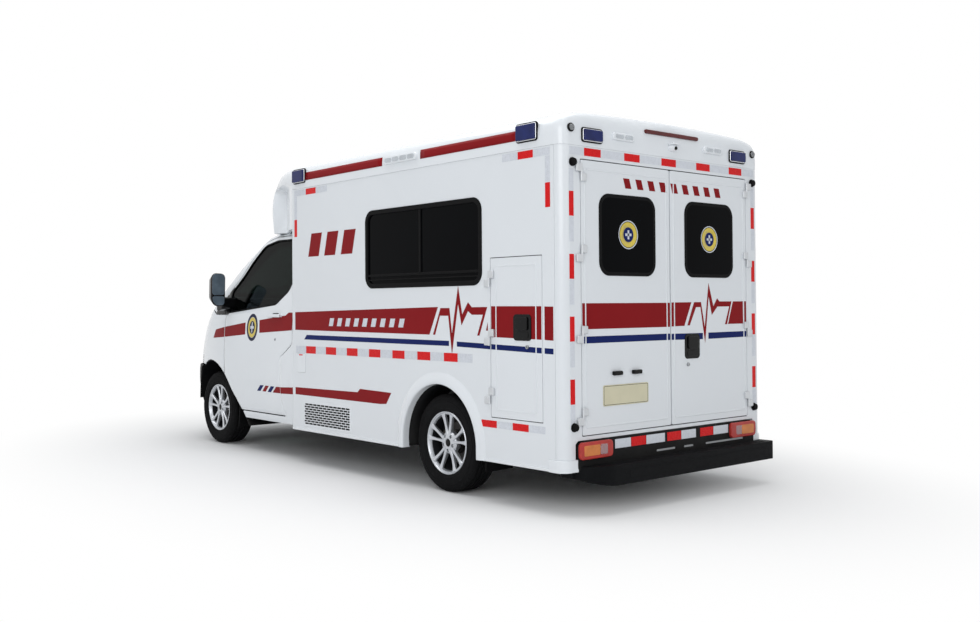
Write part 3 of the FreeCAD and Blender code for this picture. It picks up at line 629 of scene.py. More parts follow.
def mix_finishes(look):
    """Makes every finish once, before the first piece."""
    paint = list(look.paint)
    F.paint = shade("white_paint", paint, 0.26, vary=0.008, patch=1.2, grain=0.02, fine=260, dust=0.05, uneven=0.012,
                    Coat_Weight=0.5, Coat_Roughness=0.08)
    F.panel = shade("panel_white", [c * 0.97 for c in paint], 0.30, vary=0.008, patch=1.0, grain=0.025, fine=200,
                    dust=0.06, uneven=0.012, Coat_Weight=0.4, Coat_Roughness=0.10)
    F.lining = shade("lining_white", srgb(226, 228, 226), 0.45, vary=0.02, grain=0.12, fine=500)
    F.edge = shade("arch_grey", srgb(196, 199, 202), 0.5, vary=0.05, patch=8, grain=0.15, fine=500, dust=0.5)
    F.red = shade("red_film", list(look.red), 0.42, vary=0.03, patch=3, grain=0.02, fine=500, uneven=0.02,
                  Specular_IOR_Level=0.07)
    F.blue = shade("blue_film", list(look.blue), 0.42, vary=0.03, patch=3, grain=0.02, fine=500, uneven=0.02,
                   Specular_IOR_Level=0.06)
    F.tape_red = cells("red_tape", srgb(222, 18, 22), 0.006)
    F.tape_white = cells("white_tape", srgb(220, 224, 231), 0.006)
    F.black = shade("black_plastic", srgb(17, 18, 20), 0.52, vary=0.14, patch=7, grain=0.25, fine=700, dust=0.06,
                    Specular_IOR_Level=0.08)
    F.gloss = shade("black_gloss", srgb(8, 9, 10), 0.14, vary=0.1, patch=5, uneven=0.02, Specular_IOR_Level=0.16)
    F.rubber = shade("door_rubber", srgb(14, 14, 15), 0.66, vary=0.12, patch=14, grain=0.25, fine=900,
                     Specular_IOR_Level=0.08)
    F.grey = shade("grey_plastic", srgb(84, 87, 90), 0.55, vary=0.08, patch=9, grain=0.3, fine=800)
    F.trim = shade("cab_trim", srgb(58, 60, 63), 0.62, vary=0.08, patch=10, grain=0.4, fine=800)
    F.cloth = ribbed("seat_cloth", srgb(44, 47, 54), 0.92, 160, "Z", 0.5, vary=0.18, patch=60,
                     Sheen_Weight=0.35)
    F.board = shade("floor_vinyl", srgb(92, 100, 108), 0.5, vary=0.28, patch=160, grain=0.2, fine=500)
    F.tread = ribbed("step_rubber", srgb(12, 13, 15), 0.55, 55, "Y", 0.5, vary=0.12, patch=9, Specular_IOR_Level=0.07)
    F.privacy = shade("privacy_glass", srgb(4, 5, 7), 0.05, vary=0.20, patch=1.5, uneven=0.02,
                      Specular_IOR_Level=0.03)
    F.glass = shade("cab_glass", srgb(34, 43, 41), 0.02, vary=0.03, patch=2, uneven=0.01,
                    Transmission_Weight=0.97, IOR=1.12)
    F.screen = shade("windscreen_glass", srgb(132, 150, 142), 0.02, vary=0.03, patch=2, uneven=0.01,
                     Transmission_Weight=0.97, IOR=1.15)
    F.clear = ribbed("clear_lens", srgb(228, 232, 236), 0.10, 46, "Y", 0.35, vary=0.02,
                     Transmission_Weight=0.75, IOR=1.45)
    F.blue_lens = ribbed("blue_lens", srgb(19, 33, 92), 0.12, 40, "DIAGONAL", 0.5, vary=0.2, patch=12,
                         Specular_IOR_Level=0.2)
    F.red_lens = ribbed("red_lens", srgb(184, 54, 48), 0.14, 60, "Z", 0.5, vary=0.12, patch=12,
                        Specular_IOR_Level=0.3)
    F.dark_red = ribbed("dark_red_lens", srgb(92, 18, 20), 0.16, 60, "Y", 0.5, vary=0.12, patch=12,
                        Specular_IOR_Level=0.2)
    F.amber = ribbed("amber_lens", srgb(214, 128, 66), 0.16, 60, "Z", 0.5, vary=0.12, patch=12,
                     Specular_IOR_Level=0.3)
    F.chrome = shade("bright_metal", srgb(222, 224, 228), 0.12, 1.0, vary=0.03, patch=10)
    F.mirror = shade("mirror_glass", srgb(116, 132, 146), 0.05, 0.5, vary=0.25, patch=7, uneven=0.01)
    F.alloy = shade("alloy", srgb(196, 199, 204), 0.30, 0.7, vary=0.02, patch=12, uneven=0.02)
    F.satin = shade("satin_steel", srgb(160, 163, 166), 0.40, 0.8, vary=0.06, patch=20, grain=0.1, fine=700)
    F.brake = shade("brake_iron", srgb(58, 56, 54), 0.46, 0.6, vary=0.12, patch=30, grain=0.15)
    F.barrel = shade("rim_shadow_grey", srgb(34, 35, 38), 0.5, 0.3, vary=0.08, patch=12, uneven=0.02,
                     Specular_IOR_Level=0.1)
    F.tyre = shade("tyre_rubber", srgb(21, 21, 22), 0.82, vary=0.16, patch=9, grain=0.30, fine=500,
                   Specular_IOR_Level=0.08)
    F.frame = shade("chassis_black", srgb(18, 18, 19), 0.6, vary=0.2, patch=9, grain=0.2, dust=0.2,
                    Specular_IOR_Level=0.2)
    F.spring = shade("spring_steel", srgb(46, 44, 43), 0.55, 0.5, vary=0.2, patch=18, grain=0.2, dust=0.4)
    F.iron = shade("cast_iron", srgb(62, 58, 55), 0.62, 0.6, vary=0.2, patch=20, grain=0.3, dust=0.4)
    F.engine = shade("engine_metal", srgb(122, 122, 120), 0.5, 0.7, vary=0.16, patch=16, grain=0.25)
    F.exhaust = shade("exhaust_steel", srgb(132, 118, 104), 0.48, 0.8, vary=0.2, patch=9, grain=0.2, dust=0.4)
    F.badge = shade("badge_yellow", srgb(214, 190, 60), 0.34, vary=0.05, patch=30, Coat_Weight=0.3)
    F.navy = shade("navy_film", srgb(22, 28, 60), 0.42, vary=0.05, patch=3, uneven=0.02, Specular_IOR_Level=0.14)
    F.cream = shade("plate_cream", srgb(212, 206, 176), 0.38, vary=0.03, patch=9, grain=0.04, Coat_Weight=0.3)
    F.hinge_metal = shade("hinge_metal", srgb(206, 209, 212), 0.38, 0.35, vary=0.05, patch=20, grain=0.1, fine=700)
    F.under = shade("underbody_grey", srgb(66, 67, 68), 0.7, vary=0.12, patch=6, grain=0.2, dust=0.4)


# ---- cab ----
SIDES = ((1, "_left"), (-1, "_right"))
COWL_X = 3.997             # the bonnet's rear edge, ahead of the rear axle
COWL_Y = 0.793             # half width at the bonnet's sides
LAMP_FOOT = 0.784          # foot of the headlamps and the grille
BUMPER_TOP = 0.772
FOG_Y, FOG_Z = 0.66, 0.52
CAB_BACK = 2.126           # the cab's rear edge, ahead of the rear axle


def at(x, z):
    """A place on the side, x given ahead of the rear axle."""
    return (AXLE + x, z)


def side_line(corners, step=8):
    """Outline on the side through corners given as x ahead of the rear axle, z, radius."""
    return rounded([(AXLE + x, z, radius) for x, z, radius in corners], step)


def along(a, b, count):
    """Evenly spaced points from a to b."""
    return [(a[0] + (b[0] - a[0]) * i / count, a[1] + (b[1] - a[1]) * i / count) for i in range(count + 1)]


def dense(loop, longest):
    """The same outline with long runs divided."""
    out = []
    for a, b in zip(loop, loop[1:] + loop[:1]):
        n = max(1, math.ceil(math.hypot(b[0] - a[0], b[1] - a[1]) / longest))
        out += along(a, b, n)[:-1]
    return out


def cab_points(ray, uv):
    """Points on the cab's outside."""
    return meet(cab_form, ray, uv)[0]


ARCH = flowing([at(*p) for p in (
    (3.050, 0.200), (3.105, 0.290), (3.168, 0.365), (3.330, 0.540), (3.478, 0.700), (3.640, 0.795),
    (3.816, 0.829), (3.985, 0.806), (4.120, 0.735), (4.180, 0.600), (4.195, 0.400), (4.195, 0.200))])
DOOR = [p for p in ARCH if p[0] < AXLE + 3.484 and p[1] > 0.380]
DOOR += side_line([
    (3.485, 0.706, 0), (3.485, 1.500, 0.06), (3.292, 1.681, 0.30), (3.180, 1.812, 0.30), (3.000, 1.977, 0.20),
    (2.760, 2.022, 0.20), (2.175, 2.022, 0.04), (2.175, 1.025, 0.06), (2.390, 0.895, 0.09), (2.385, 0.500, 0.20),
    (2.330, 0.375, 0.015), (3.177, 0.375, 0)])
DOOR_GLASS = side_line([
    (3.455, 1.300, 0.010), (3.455, 1.500, 0.030), (3.272, 1.664, 0.30), (3.160, 1.792, 0.30), (2.985, 1.945, 0.20),
    (2.760, 1.985, 0.15), (2.235, 1.985, 0.04), (2.255, 1.700, 0.30), (2.330, 1.500, 0.12), (2.520, 1.378, 0.12)])
SILL_Z = 0.305


def arch_line(low_x, high_x, away=0.004):
    """The wheel arch's edge between two places, from rear to front, moved away from the tyre."""
    line = []
    for a, b, c in zip(ARCH, ARCH[1:], ARCH[2:]):
        way = Vector((a[1] - c[1], c[0] - a[0])).normalized() * away
        line.append((b[0] + way.x, b[1] + way.y))
    return [p for p in line if low_x <= p[0] <= high_x and p[1] > 0.21]


def bonnet_lip(y):
    """Height of the bonnet's front edge."""
    return 1.070 - 0.125 * y * y


def front_points(ys, down=0.0):
    """Places along the bonnet's front edge, or a little below it."""
    return cab_points(from_front, [(y, bonnet_lip(y) - down) for y in ys])


SCREEN_Y, SCREEN_Z = 0.803, 1.470      # the windscreen's lower corner
BAND_ROWS = (1.05, 1.12, 1.20, 1.28)   # extra mesh rows where the band lies on the cab


def screen_foot(y):
    """Height of the windscreen's lower edge."""
    return SCREEN_Z - 0.02 * (1 - (y / SCREEN_Y) ** 2)


def crease(points):
    """A pressed line low on the doors and flanks: the surface steps in slightly below it."""
    x, z = points[:, 0] - AXLE, points[:, 2]
    line = np.interp(x, [2.26, 2.91, 3.00, 3.04, 3.07], [0.678, 0.650, 0.610, 0.570, 0.500])
    below = np.clip((line - z) / 0.010, 0, 1) * np.clip((z - 0.45) / 0.12, 0, 1)
    return 0.007 * below


def cab_panels(sizes):
    """Doors with their glass, quarters, wings, pillars, windscreen, bonnet and cowl."""
    door = skin("door_skin", cab_form, from_side, inset(DOOR, sizes.shut_line / 2), DOOR_GLASS, 0.005, 0.038,
                rows=(*BAND_ROWS, 1.34), thick=0.018, press=crease)
    dress(door, "cab_door_l", "body_paint", F.paint, F.trim, replaces=["cab_door_left"])
    seal = skin("window_seal", cab_form, from_side, inset(DOOR_GLASS, -0.003), inset(DOOR_GLASS, 0.013), 0.0015,
                0.05, thick=0.014, depth=-0.001)
    dress(seal, "cab_door_l", "black_trim", F.rubber, F.rubber)
    pane = skin("door_pane", cab_form, from_side, inset(DOOR_GLASS, 0.006), None, 0, 0.06, thick=0.004,
                depth=0.009)
    dress(pane, "cab_door_l", "cab_glass", F.glass, F.glass, replaces=["cab_door_glass_left"])
    sail = skin("window_sail", cab_form, from_side, [at(*p) for p in (
        (3.4815, 1.289), (3.4815, 1.497), (3.440, 1.536), (3.405, 1.552), (3.428, 1.500), (3.428, 1.289))],
        None, 0.001, 0.05, thick=0.012, depth=-0.0025)
    dress(sail, "cab_door_l", "black_trim", F.gloss, F.black)

    quarter = side_line([(CAB_BACK, SILL_Z, 0), (3.112, SILL_Z, 0.01), (3.164, 0.369, 0.01), (2.333, 0.369, 0.018),
                         (2.390, 0.500, 0.20), (2.3955, 0.892, 0.09), (2.1715, 1.021, 0.06), (2.1715, 2.018, 0.02),
                         (CAB_BACK, 2.018, 0)])
    quarter = skin("cab_quarter", cab_form, from_side, quarter, None, 0.004, 0.045, thick=0.02)
    dress(quarter, "body", "body_paint", F.paint, F.trim)

    # fender: along the arch, up the door's edge, along the bonnet and down behind the headlamp
    bonnet_side = cab_points(from_above, [(AXLE + x, COWL_Y) for x in np.linspace(3.998, 4.30, 8)])
    tip = front_points([COWL_Y], 0.003)
    lamp_rear = cab_points(from_side, [at(4.163, z) for z in (0.998, 0.94, 0.88, 0.82, 0.778)])
    lamp_top = np.vstack([tip, (tip + lamp_rear[:1]) / 2])
    foot = cab_points(from_side, arch_line(AXLE + 3.491, AXLE + 4.052))
    door_side = cab_points(from_side, [at(3.4885, z) for z in (0.86, 0.95, 1.05, 1.15, 1.25, 1.287)])
    shoulder = cab_points(from_side, [at(3.60, 1.287), at(3.72, 1.287)])
    ring = on_spine(foot) + on_spine(cab_points(from_side, [at(4.0565, 0.778)]))
    ring += on_spine(lamp_rear[::-1]) + on_spine(lamp_top[::-1][:1]) + on_spine(tip)
    ring += on_spine(bonnet_side[::-1]) + on_spine(shoulder[::-1]) + on_spine(door_side[::-1])
    fender = skin("fender", cab_form, from_spine, dense(ring, 0.06), None, 0.004, 0.035, thick=0.012)
    dress(fender, "body", "body_paint", F.paint, F.black)

    # black corner at the foot of the door window
    corner = side_line([(3.4885, 1.291, 0.004), (3.74, 1.291, 0.012), (3.4885, 1.488, 0.004)], 20)
    corner = skin("pillar_corner", cab_form, from_side, corner, None, 0.001, 0.04, thick=0.012, depth=-0.003)
    dress(corner, "body", "black_trim", F.gloss, F.black)

    for piece in (door, seal, pane, sail, quarter, fender, corner):
        twin = handed(copied(piece, piece.name + "_right"), -1)
        body = "cab_door_r" if piece in (door, seal, pane, sail) else "body"
        kept = {door: ["cab_door_right"], pane: ["cab_door_glass_right"]}.get(piece, [])
        dress(twin, body, "body_paint", *[s.material for s in piece.material_slots], replaces=kept)
        called(piece, piece.name + "_left")

    # windscreen pillars and the roof's front rail in one frame
    top_line = side_line([(3.4885, 1.4995, 0), (3.297, 1.685, 0.30), (3.184, 1.816, 0.30), (3.003, 1.981, 0.20),
                          (2.760, 2.0255, 0.20), (CAB_BACK, 2.0255, 0)])
    door_top = cab_points(from_side, dense(top_line, 0.08)[:-1])
    rearmost = max(range(len(door_top)), key=lambda i: -door_top[i][0] + (door_top[i][2] > 2.0) * 10)
    back = [(AXLE + CAB_BACK, y) for y in (0.15, 0.30, 0.45, 0.62)]
    half = np.vstack([
        cab_points(from_above, back),
        door_top[rearmost::-1],
        cab_points(from_side, [at(3.4885, 1.484), at(3.70, 1.295)]),
        cab_points(from_above, [(AXLE + 3.985, COWL_Y)]),
        cab_points(from_front, [(SCREEN_Y - 0.145 * t, SCREEN_Z + 0.515 * t) for t in np.linspace(0, 1, 9)]),
        cab_points(from_front, [(0.640, 1.9985), (0.60, 2.004), (0.50, 2.008), (0.25, 2.012)])])
    rear, front = cab_points(from_above, [(AXLE + CAB_BACK, 0.0)]), cab_points(from_front, [(0.0, 2.013)])
    ring = on_spine(rear) + on_spine(half) + on_spine(front) + on_spine(half * (1, -1, 1))[::-1]
    rails = skin("roof_frame", cab_form, from_spine, dense(ring, 0.07), None, 0.004, 0.04, thick=0.03)
    dress(rails, "body", "body_paint", F.paint, F.lining)

    glass = [(SCREEN_Y, SCREEN_Z), (0.8, 1.485), (0.655, 1.985), (0.62, 1.996), (0.5, 2.003), (0.25, 2.007)]
    glass = glass + [(0.0, 2.008)] + [(-y, z) for y, z in glass[::-1]]
    low = [(y, screen_foot(y)) for y in np.linspace(-SCREEN_Y, SCREEN_Y, 9)[1:-1]]
    glass = dense(glass + low, 0.08)
    surround = skin("screen_surround", cab_form, from_front, glass, inset(glass, 0.045), 0.002, 0.07,
                    thick=0.006, depth=0.003)
    dress(surround, "body", "black_trim", F.gloss, F.gloss)
    screen = skin("screen_glass", cab_form, from_front, inset(glass, 0.006), None, 0, 0.07, thick=0.005,
                  depth=0.006)
    dress(screen, "body", "cab_glass", F.screen, F.screen, replaces=["windscreen"])

    # bonnet: plan outline, its front edge follows the lip
    edge = COWL_Y - 0.004
    ys = np.linspace(-edge, edge, 25)
    front_edge = [(p[0], p[1]) for p in front_points(ys)]
    rear_edge = [(AXLE + COWL_X + 0.006, y) for y in ys[::-1]]
    bonnet = skin("bonnet_skin", cab_form, from_above, dense(front_edge + rear_edge, 0.09), None, 0.005, 0.045,
                  thick=0.012, press=bonnet_press)
    dress(bonnet, "hood", "body_paint", F.paint, F.under, replaces=["bonnet"])
    foot = cab_points(from_front, [(y, screen_foot(y) - 0.0035) for y in np.linspace(edge, -edge, 17)])
    cowl = [(p[0], p[1]) for p in foot] + [(AXLE + COWL_X, y) for y in np.linspace(-edge, edge, 17)]
    cowl = skin("cowl_panel", cab_form, from_above, dense(cowl, 0.1), None, 0.004, 0.05, thick=0.02, depth=0.004)
    dress(cowl, "body", "black_trim", F.black, F.black)


def bonnet_press(points):
    """Two long raised lines on the bonnet."""
    y, x = np.abs(points[:, 1]), points[:, 0] - AXLE
    edge = 0.52 + 0.10 * (4.6 - x)
    fade = np.clip((x - 4.03) / 0.12, 0, 1) * np.clip((4.60 - x) / 0.10, 0, 1)
    return 0.007 * np.clip((y - edge) / 0.05, 0, 1) * np.clip((0.77 - y) / 0.08, 0, 1) * fade


def torus(name, centre, ring, tube, turn=(0, 0, 0), steps=48):
    rest()
    bpy.ops.mesh.primitive_torus_add(major_segments=steps, minor_segments=12, major_radius=ring,
                                     minor_radius=tube, location=centre, rotation=turn)
    return smooth(named(name))


def door_fittings():
    """Handle, lock and mirror of each cab door."""
    for side, tag in SIDES:
        body = "cab_door" + tag[:2]
        x, z = AXLE + 2.505, 1.270
        y = cab_points(from_side, [(x, z)])[0][1]
        # painted shade: a flat black plate round the handle stands for the shadow in the recess behind the grip
        dish = plates("handle_recess_shade", [oblong(x - 0.078, x + 0.050, z - 0.026, z + 0.032, 0.026)], "xz",
                      y - 0.012, y + 0.0016, 0.001)
        grip = block("handle_grip", (x - 0.128, y + 0.012, z - 0.006), (x + 0.100, y + 0.036, z + 0.024), 0.009, 4)
        foot = block("handle_foot", (x + 0.070, y - 0.004, z - 0.004), (x + 0.100, y + 0.030, z + 0.022), 0.005)
        heel = block("handle_heel", (x - 0.128, y - 0.004, z - 0.004), (x - 0.100, y + 0.030, z + 0.022), 0.005)
        lock_y = cab_points(from_side, [(x - 0.03, 1.063)])[0][1]
        ring = rod("lock_ring", "y", (x - 0.03, lock_y + 0.001, 1.063), 0.011, 0.008, 0.001, 24)
        slit = block("lock_slit", (x - 0.032, lock_y + 0.004, 1.057), (x - 0.028, lock_y + 0.0056, 1.069))
        handle = joined("door_handle", [grip, foot, heel])

        shell = rounded([(1.088, 1.372, 0.05), (1.082, 1.690, 0.05), (1.232, 1.697, 0.05), (1.238, 1.415, 0.08),
                         (1.195, 1.362, 0.05)], 12)
        head = plates("mirror_shell", [shell], "yz", AXLE + 3.338, AXLE + 3.437)
        taper(head, AXLE + 3.338, AXLE + 3.437, 0.72)
        soften(head, 0.018, 4, 40)
        upper = rounded([(1.101, 1.478, 0.025), (1.098, 1.676, 0.035), (1.222, 1.682, 0.035),
                         (1.226, 1.478, 0.025)], 12)
        lower = rounded([(1.104, 1.382, 0.03), (1.101, 1.466, 0.02), (1.225, 1.466, 0.02), (1.222, 1.42, 0.05),
                         (1.188, 1.378, 0.035)], 12)
        glass = plates("mirror_glass", [upper, lower], "yz", AXLE + 3.3335, AXLE + 3.3395, 0.001)
        arm = plates("mirror_arm", [rounded([(AXLE + 3.352, 1.345, 0.03), (AXLE + 3.352, 1.475, 0.03),
                                             (AXLE + 3.476, 1.418, 0.02), (AXLE + 3.476, 1.318, 0.02)], 12)],
                     "xz", 0.962, 1.118, 0.014, 3)
        mirror = joined("door_mirror", [head, arm])
        for obj, slot, material in ((dish, "black_trim", F.black), (handle, "body_paint", F.paint),
                                    (ring, "black_trim", F.satin), (slit, "black_trim", F.black),
                                    (mirror, "black_trim", F.gloss), (glass, "black_trim", F.mirror)):
            dress(handed(called(obj, obj.name + tag), side), body, slot, material)


def nose(sizes):
    """Headlamps, grille and bumper round the nose, with the fog lamps."""
    for side, tag in SIDES:
        top = front_points(np.linspace(0.556, 0.787, 7), 0.006)
        rear_top = cab_points(from_side, [at(4.36, 0.9905), at(4.26, 0.9945), at(4.169, 0.996)])
        rear = cab_points(from_side, [at(4.171, 0.90), at(4.176, 0.786)])
        foot = cab_points(from_side, [at(4.26, LAMP_FOOT), at(4.36, LAMP_FOOT)])
        low = cab_points(from_front, [(y, LAMP_FOOT) for y in (0.80, 0.70, 0.62, 0.556)])
        ring = dense(on_mast(np.vstack([top, rear_top, rear, foot, low])), 0.05)
        lens = skin("headlamp_lens" + tag, cab_form, from_mast, ring, None, 0.004, 0.05, thick=0.004)
        bowl = skin("headlamp_bowl" + tag, cab_form, from_mast, inset(ring, 0.006), None, 0.0, 0.03, thick=0.004,
                    depth=0.045, press=bowls)
        dress(handed(lens, side), "body", "lamp_lens", F.clear, F.clear, replaces=["headlamps"])
        dress(handed(bowl, side), "body", "lamp_lens", F.chrome, F.grey)

    ys = np.linspace(-0.545, 0.545, 15)
    top = front_points(ys[::-1], 0.006)
    low = cab_points(from_front, [(y, LAMP_FOOT) for y in ys])
    ring = dense(on_mast(np.vstack([low, top])), 0.06)
    rim = skin("grille_frame", cab_form, from_mast, ring, inset(ring, 0.035), 0.004, 0.06, thick=0.02)
    dress(rim, "body", "black_trim", F.gloss, F.black, replaces=["grille"])
    net = skin("grille_net", cab_form, from_mast, inset(ring, 0.02), None, 0, 0.06, thick=0.004, depth=0.05)
    dress(net, "body", "black_trim", F.black, F.black)
    bars = [nose_bar("bar", z, 0.010, 13, 0.003, 0.02, 0.008) for z in (0.835, 0.878, 0.921, 0.964, 1.007)]
    dress(joined("grille_bars", bars), "body", "black_trim", F.gloss, F.black)

    end = [p for p in arch_line(AXLE + 4.062, AXLE + 4.21) if 0.38 < p[1] < 0.760] + [at(4.200, 0.375)]
    side_end = cab_points(from_side, end)
    back_top = cab_points(from_side, [at(4.0625, BUMPER_TOP - 0.002), at(4.17, BUMPER_TOP), at(4.30, BUMPER_TOP)])
    across = np.linspace(0.80, -0.80, 21)
    front_top = cab_points(from_front, [(y, BUMPER_TOP) for y in across])
    front_low = cab_points(from_front, [(y, 0.30) for y in across])
    low_side = cab_points(from_side, [at(4.24, 0.355), at(4.30, 0.335)])
    flipped = [points[::-1] * (1, -1, 1) for points in (low_side, side_end, back_top)]
    ring = np.vstack([side_end, low_side, front_low, *flipped, front_top[::-1], back_top[::-1]])
    bumper = skin("front_bumper_skin", cab_form, from_mast, dense(on_mast(ring), 0.06), None, 0.006, 0.045,
                  thick=0.014, press=bumper_press)
    dress(bumper, "body", "black_plastic", F.black, F.black, replaces=["front_bumper"])
    for side, tag in SIDES:
        x, y, z = cab_points(from_front, [(side * FOG_Y, FOG_Z)])[0]
        inner, outer = cab_points(from_front, [(side * (FOG_Y - 0.05), FOG_Z), (side * (FOG_Y + 0.05), FOG_Z)])
        lean = side * math.atan2(inner[0] - outer[0], 0.10)
        for name, sunk, radius, slot, material in (("fog_lamp", 0.032, sizes.fog_lamp, "lamp_lens", F.clear),
                                                   ("fog_ring", 0.036, sizes.fog_lamp + 0.014, "black_trim", F.gloss)):
            lamp = rod(name + tag, "x", (x - sunk, y, z), radius, 0.05, 0.006, 40)
            dress(turned(lamp, lean, "Z", (x, y, z)), "body", slot, material)


def nose_bar(name, z, half, count, rim, thick, depth):
    """A bar across the nose, laid on its curve."""
    reach = 0.50
    band = [(y, z - half) for y in np.linspace(-reach, reach, count)]
    band += [(y, z + half) for y in np.linspace(reach, -reach, count)]
    return skin(name, cab_form, from_mast, on_mast(cab_points(from_front, band)), None, rim, 0.08, thick=thick,
                depth=depth)


def nose_trim():
    """Blank plate and its holder, plain boss on the grille, intake slats and the two wipers."""
    face = cab_points(from_front, [(0, 0.60)])[0][0]
    holder = plates("plate_holder", [oblong(-0.235, 0.235, 0.628, 0.742, 0.014, 15)], "yz", face - 0.050,
                    face + 0.002, 0.003)
    dress(holder, "body", "black_plastic", F.black)
    plate = plates("front_plate", [oblong(-0.220, 0.220, 0.638, 0.732, 0.010, 15)], "yz", face, face + 0.005, 0.001)
    dress(plate, "body", "body_paint", F.cream)
    slats = [nose_bar("slat", z, 0.007, 14, 0.002, 0.012, 0.012) for z in (0.44, 0.475, 0.51, 0.545)]
    dress(joined("intake_slats", slats), "body", "black_trim", F.gloss, F.black)
    face = cab_points(from_front, [(0, 0.918)])[0][0]
    boss = plates("grille_boss", [oblong(-0.085, 0.085, 0.870, 0.966, 0.046, 10)], "yz", face - 0.030,
                  face + 0.004, 0.006, 3)
    dress(boss, "body", "black_trim", F.satin)
    for s, tag in SIDES:
        foot = cab_points(from_above, [(AXLE + 3.93, s * 0.42 + 0.12)])[0]
        line = cab_points(from_above, [(AXLE + 3.86 - 0.10 * t, s * 0.42 + 0.16 - 0.62 * t)
                                       for t in np.linspace(0, 1, 8)])
        blade = line + (0.010, 0, 0.012)
        arm = [foot + (0.012, 0, 0.020), (blade[3] + foot) / 2 + (0.012, 0, 0.030), blade[3] + (0.004, 0, 0.020)]
        pivot = rod("pivot", "z", foot + (0.008, 0, 0.014), 0.018, 0.034, 0.006, 24)
        parts = [drawn("blade", blade, ((-0.006, -0.010), (0.006, -0.010), (0.008, 0.004), (0, 0.012),
                                        (-0.008, 0.004))),
                 drawn("arm", arm, ((-0.009, -0.004), (0.009, -0.004), (0.007, 0.006), (-0.007, 0.006))), pivot]
        dress(joined("wiper" + tag, parts), "body", "black_trim", F.black)


def drawn(name, line, section):
    """A small section, given as x and z, drawn along a line."""
    return lofted(name, [[point + (a, 0, b) for a, b in section] for point in line], ring=True)


def bowls(points):
    """Hollows of the headlamp reflectors."""
    sink = np.zeros(len(points))
    for y, z, r in ((0.66, 0.90, 0.075), (0.79, 0.88, 0.065)):
        away = np.hypot(points[:, 1] - y, points[:, 2] - z) / r
        sink = np.maximum(sink, 0.05 * np.sqrt(np.clip(1 - away ** 2, 0, 1)))
    return sink


def bumper_press(points):
    """Air intake sunk in the middle of the bumper and a step along its top."""
    y, z = np.abs(points[:, 1]), points[:, 2]
    intake = np.clip((0.52 - y) / 0.03, 0, 1) * np.clip((z - 0.42) / 0.02, 0, 1) * np.clip((0.60 - z) / 0.02, 0, 1)
    fog = np.clip((0.115 - np.hypot(y - FOG_Y, z - FOG_Z)) / 0.04, 0, 1)
    step = np.clip((0.715 - z) / 0.02, 0, 1)
    proud = np.clip((y - 0.72) / 0.14, 0, 1) * np.clip((0.792 - z) / 0.03, 0, 1) * np.clip((z - 0.30) / 0.30, 0, 1)
    return 0.03 * intake + 0.012 * fog + 0.008 * step * (1 - proud) - 0.026 * proud


def taper(obj, start, end, last):
    """Shrinks the cross-section about its middle, from full size at one x to last at the other."""
    points = np.array([v.co for v in obj.data.vertices])
    mid = (points.max(0) + points.min(0)) / 2
    for vert in obj.data.vertices:
        t = min(1, max(0, (vert.co.x - start) / (end - start)))
        for i in (1, 2):
            vert.co[i] = mid[i] + (vert.co[i] - mid[i]) * (1 + (last - 1) * t)


def cab_inside():
    """Floor, fire wall, sills, rear wall, wheelhouse liners and mud flaps."""
    floor = block("cab_floor", (BOX_FRONT + 0.004, -0.95, 0.60), (FRONT - 0.475, 0.95, 0.645), 0.006)
    toe = plates("toe_board", [[at(3.265, 0.600), at(3.44, 0.835), at(3.40, 0.845), at(3.225, 0.640)]], "xz",
                 -0.95, 0.95, 0.004)
    wall = block("fire_wall", (FRONT - 0.345, -0.90, 0.80), (FRONT - 0.315, 0.90, 1.34), 0.004)
    sills = [block("sill_step", (BOX_FRONT + 0.01, s * 0.875 - 0.02, 0.34), (FRONT - 0.66, s * 0.875 + 0.02, 0.62),
                   0.004) for s in (1, -1)]
    treads = [block("sill_tread", (BOX_FRONT + 0.01, s * 0.86, 0.332), (FRONT - 0.66, s * 0.975, 0.362), 0.004)
              for s in (1, -1)]
    dress(joined("cab_floor_pan", [floor, toe] + treads), "body", "cab_trim", F.tread)
    dress(joined("cab_walls", [wall] + sills), "body", "chassis_black", F.under, replaces=["cab_shell"])
    rear = plates("cab_rear_wall", [oblong(-0.95, 0.95, 0.60, 1.24), oblong(-0.95, -0.36, 1.24, 1.98, 0.0),
                                    oblong(0.36, 0.95, 1.24, 1.98, 0.0)], "yz", BOX_FRONT + 0.006,
                  BOX_FRONT + 0.026)
    dress(rear, "body", "cab_trim", F.trim)
    for s, tag in SIDES:
        line = [p for p in arch_line(AXLE + 3.07, AXLE + 4.21, -0.005) if p[0] < FRONT or p[1] > 0.41]
        edge = [max(0.953, p[1] - 0.006) for p in cab_points(from_side, line)]
        rows = [[(x, s * y, z) for y in (0.556, 0.80, 0.952, out)] for (x, z), out in zip(line, edge)]
        liner = lofted("wheel_liner" + tag, rows, angle=60)
        modify(liner, "SOLIDIFY", thickness=0.006, offset=1)
        inner = plates("liner_wall", [[(r[0][0], r[0][2]) for r in rows]], "xz", s * 0.548, s * 0.556)
        dress(joined("wheel_liner" + tag, [liner, inner]), "body", "black_plastic", F.black)
        flap = block("mud_flap" + tag, (AXLE + 3.20, s * 0.76, 0.205), (AXLE + 3.215, s, 0.56), 0.004)
        turned(flap, math.radians(-8), "Y", (AXLE + 3.2, 0, 0.5))
        dress(flap, "body", "black_plastic", F.rubber)


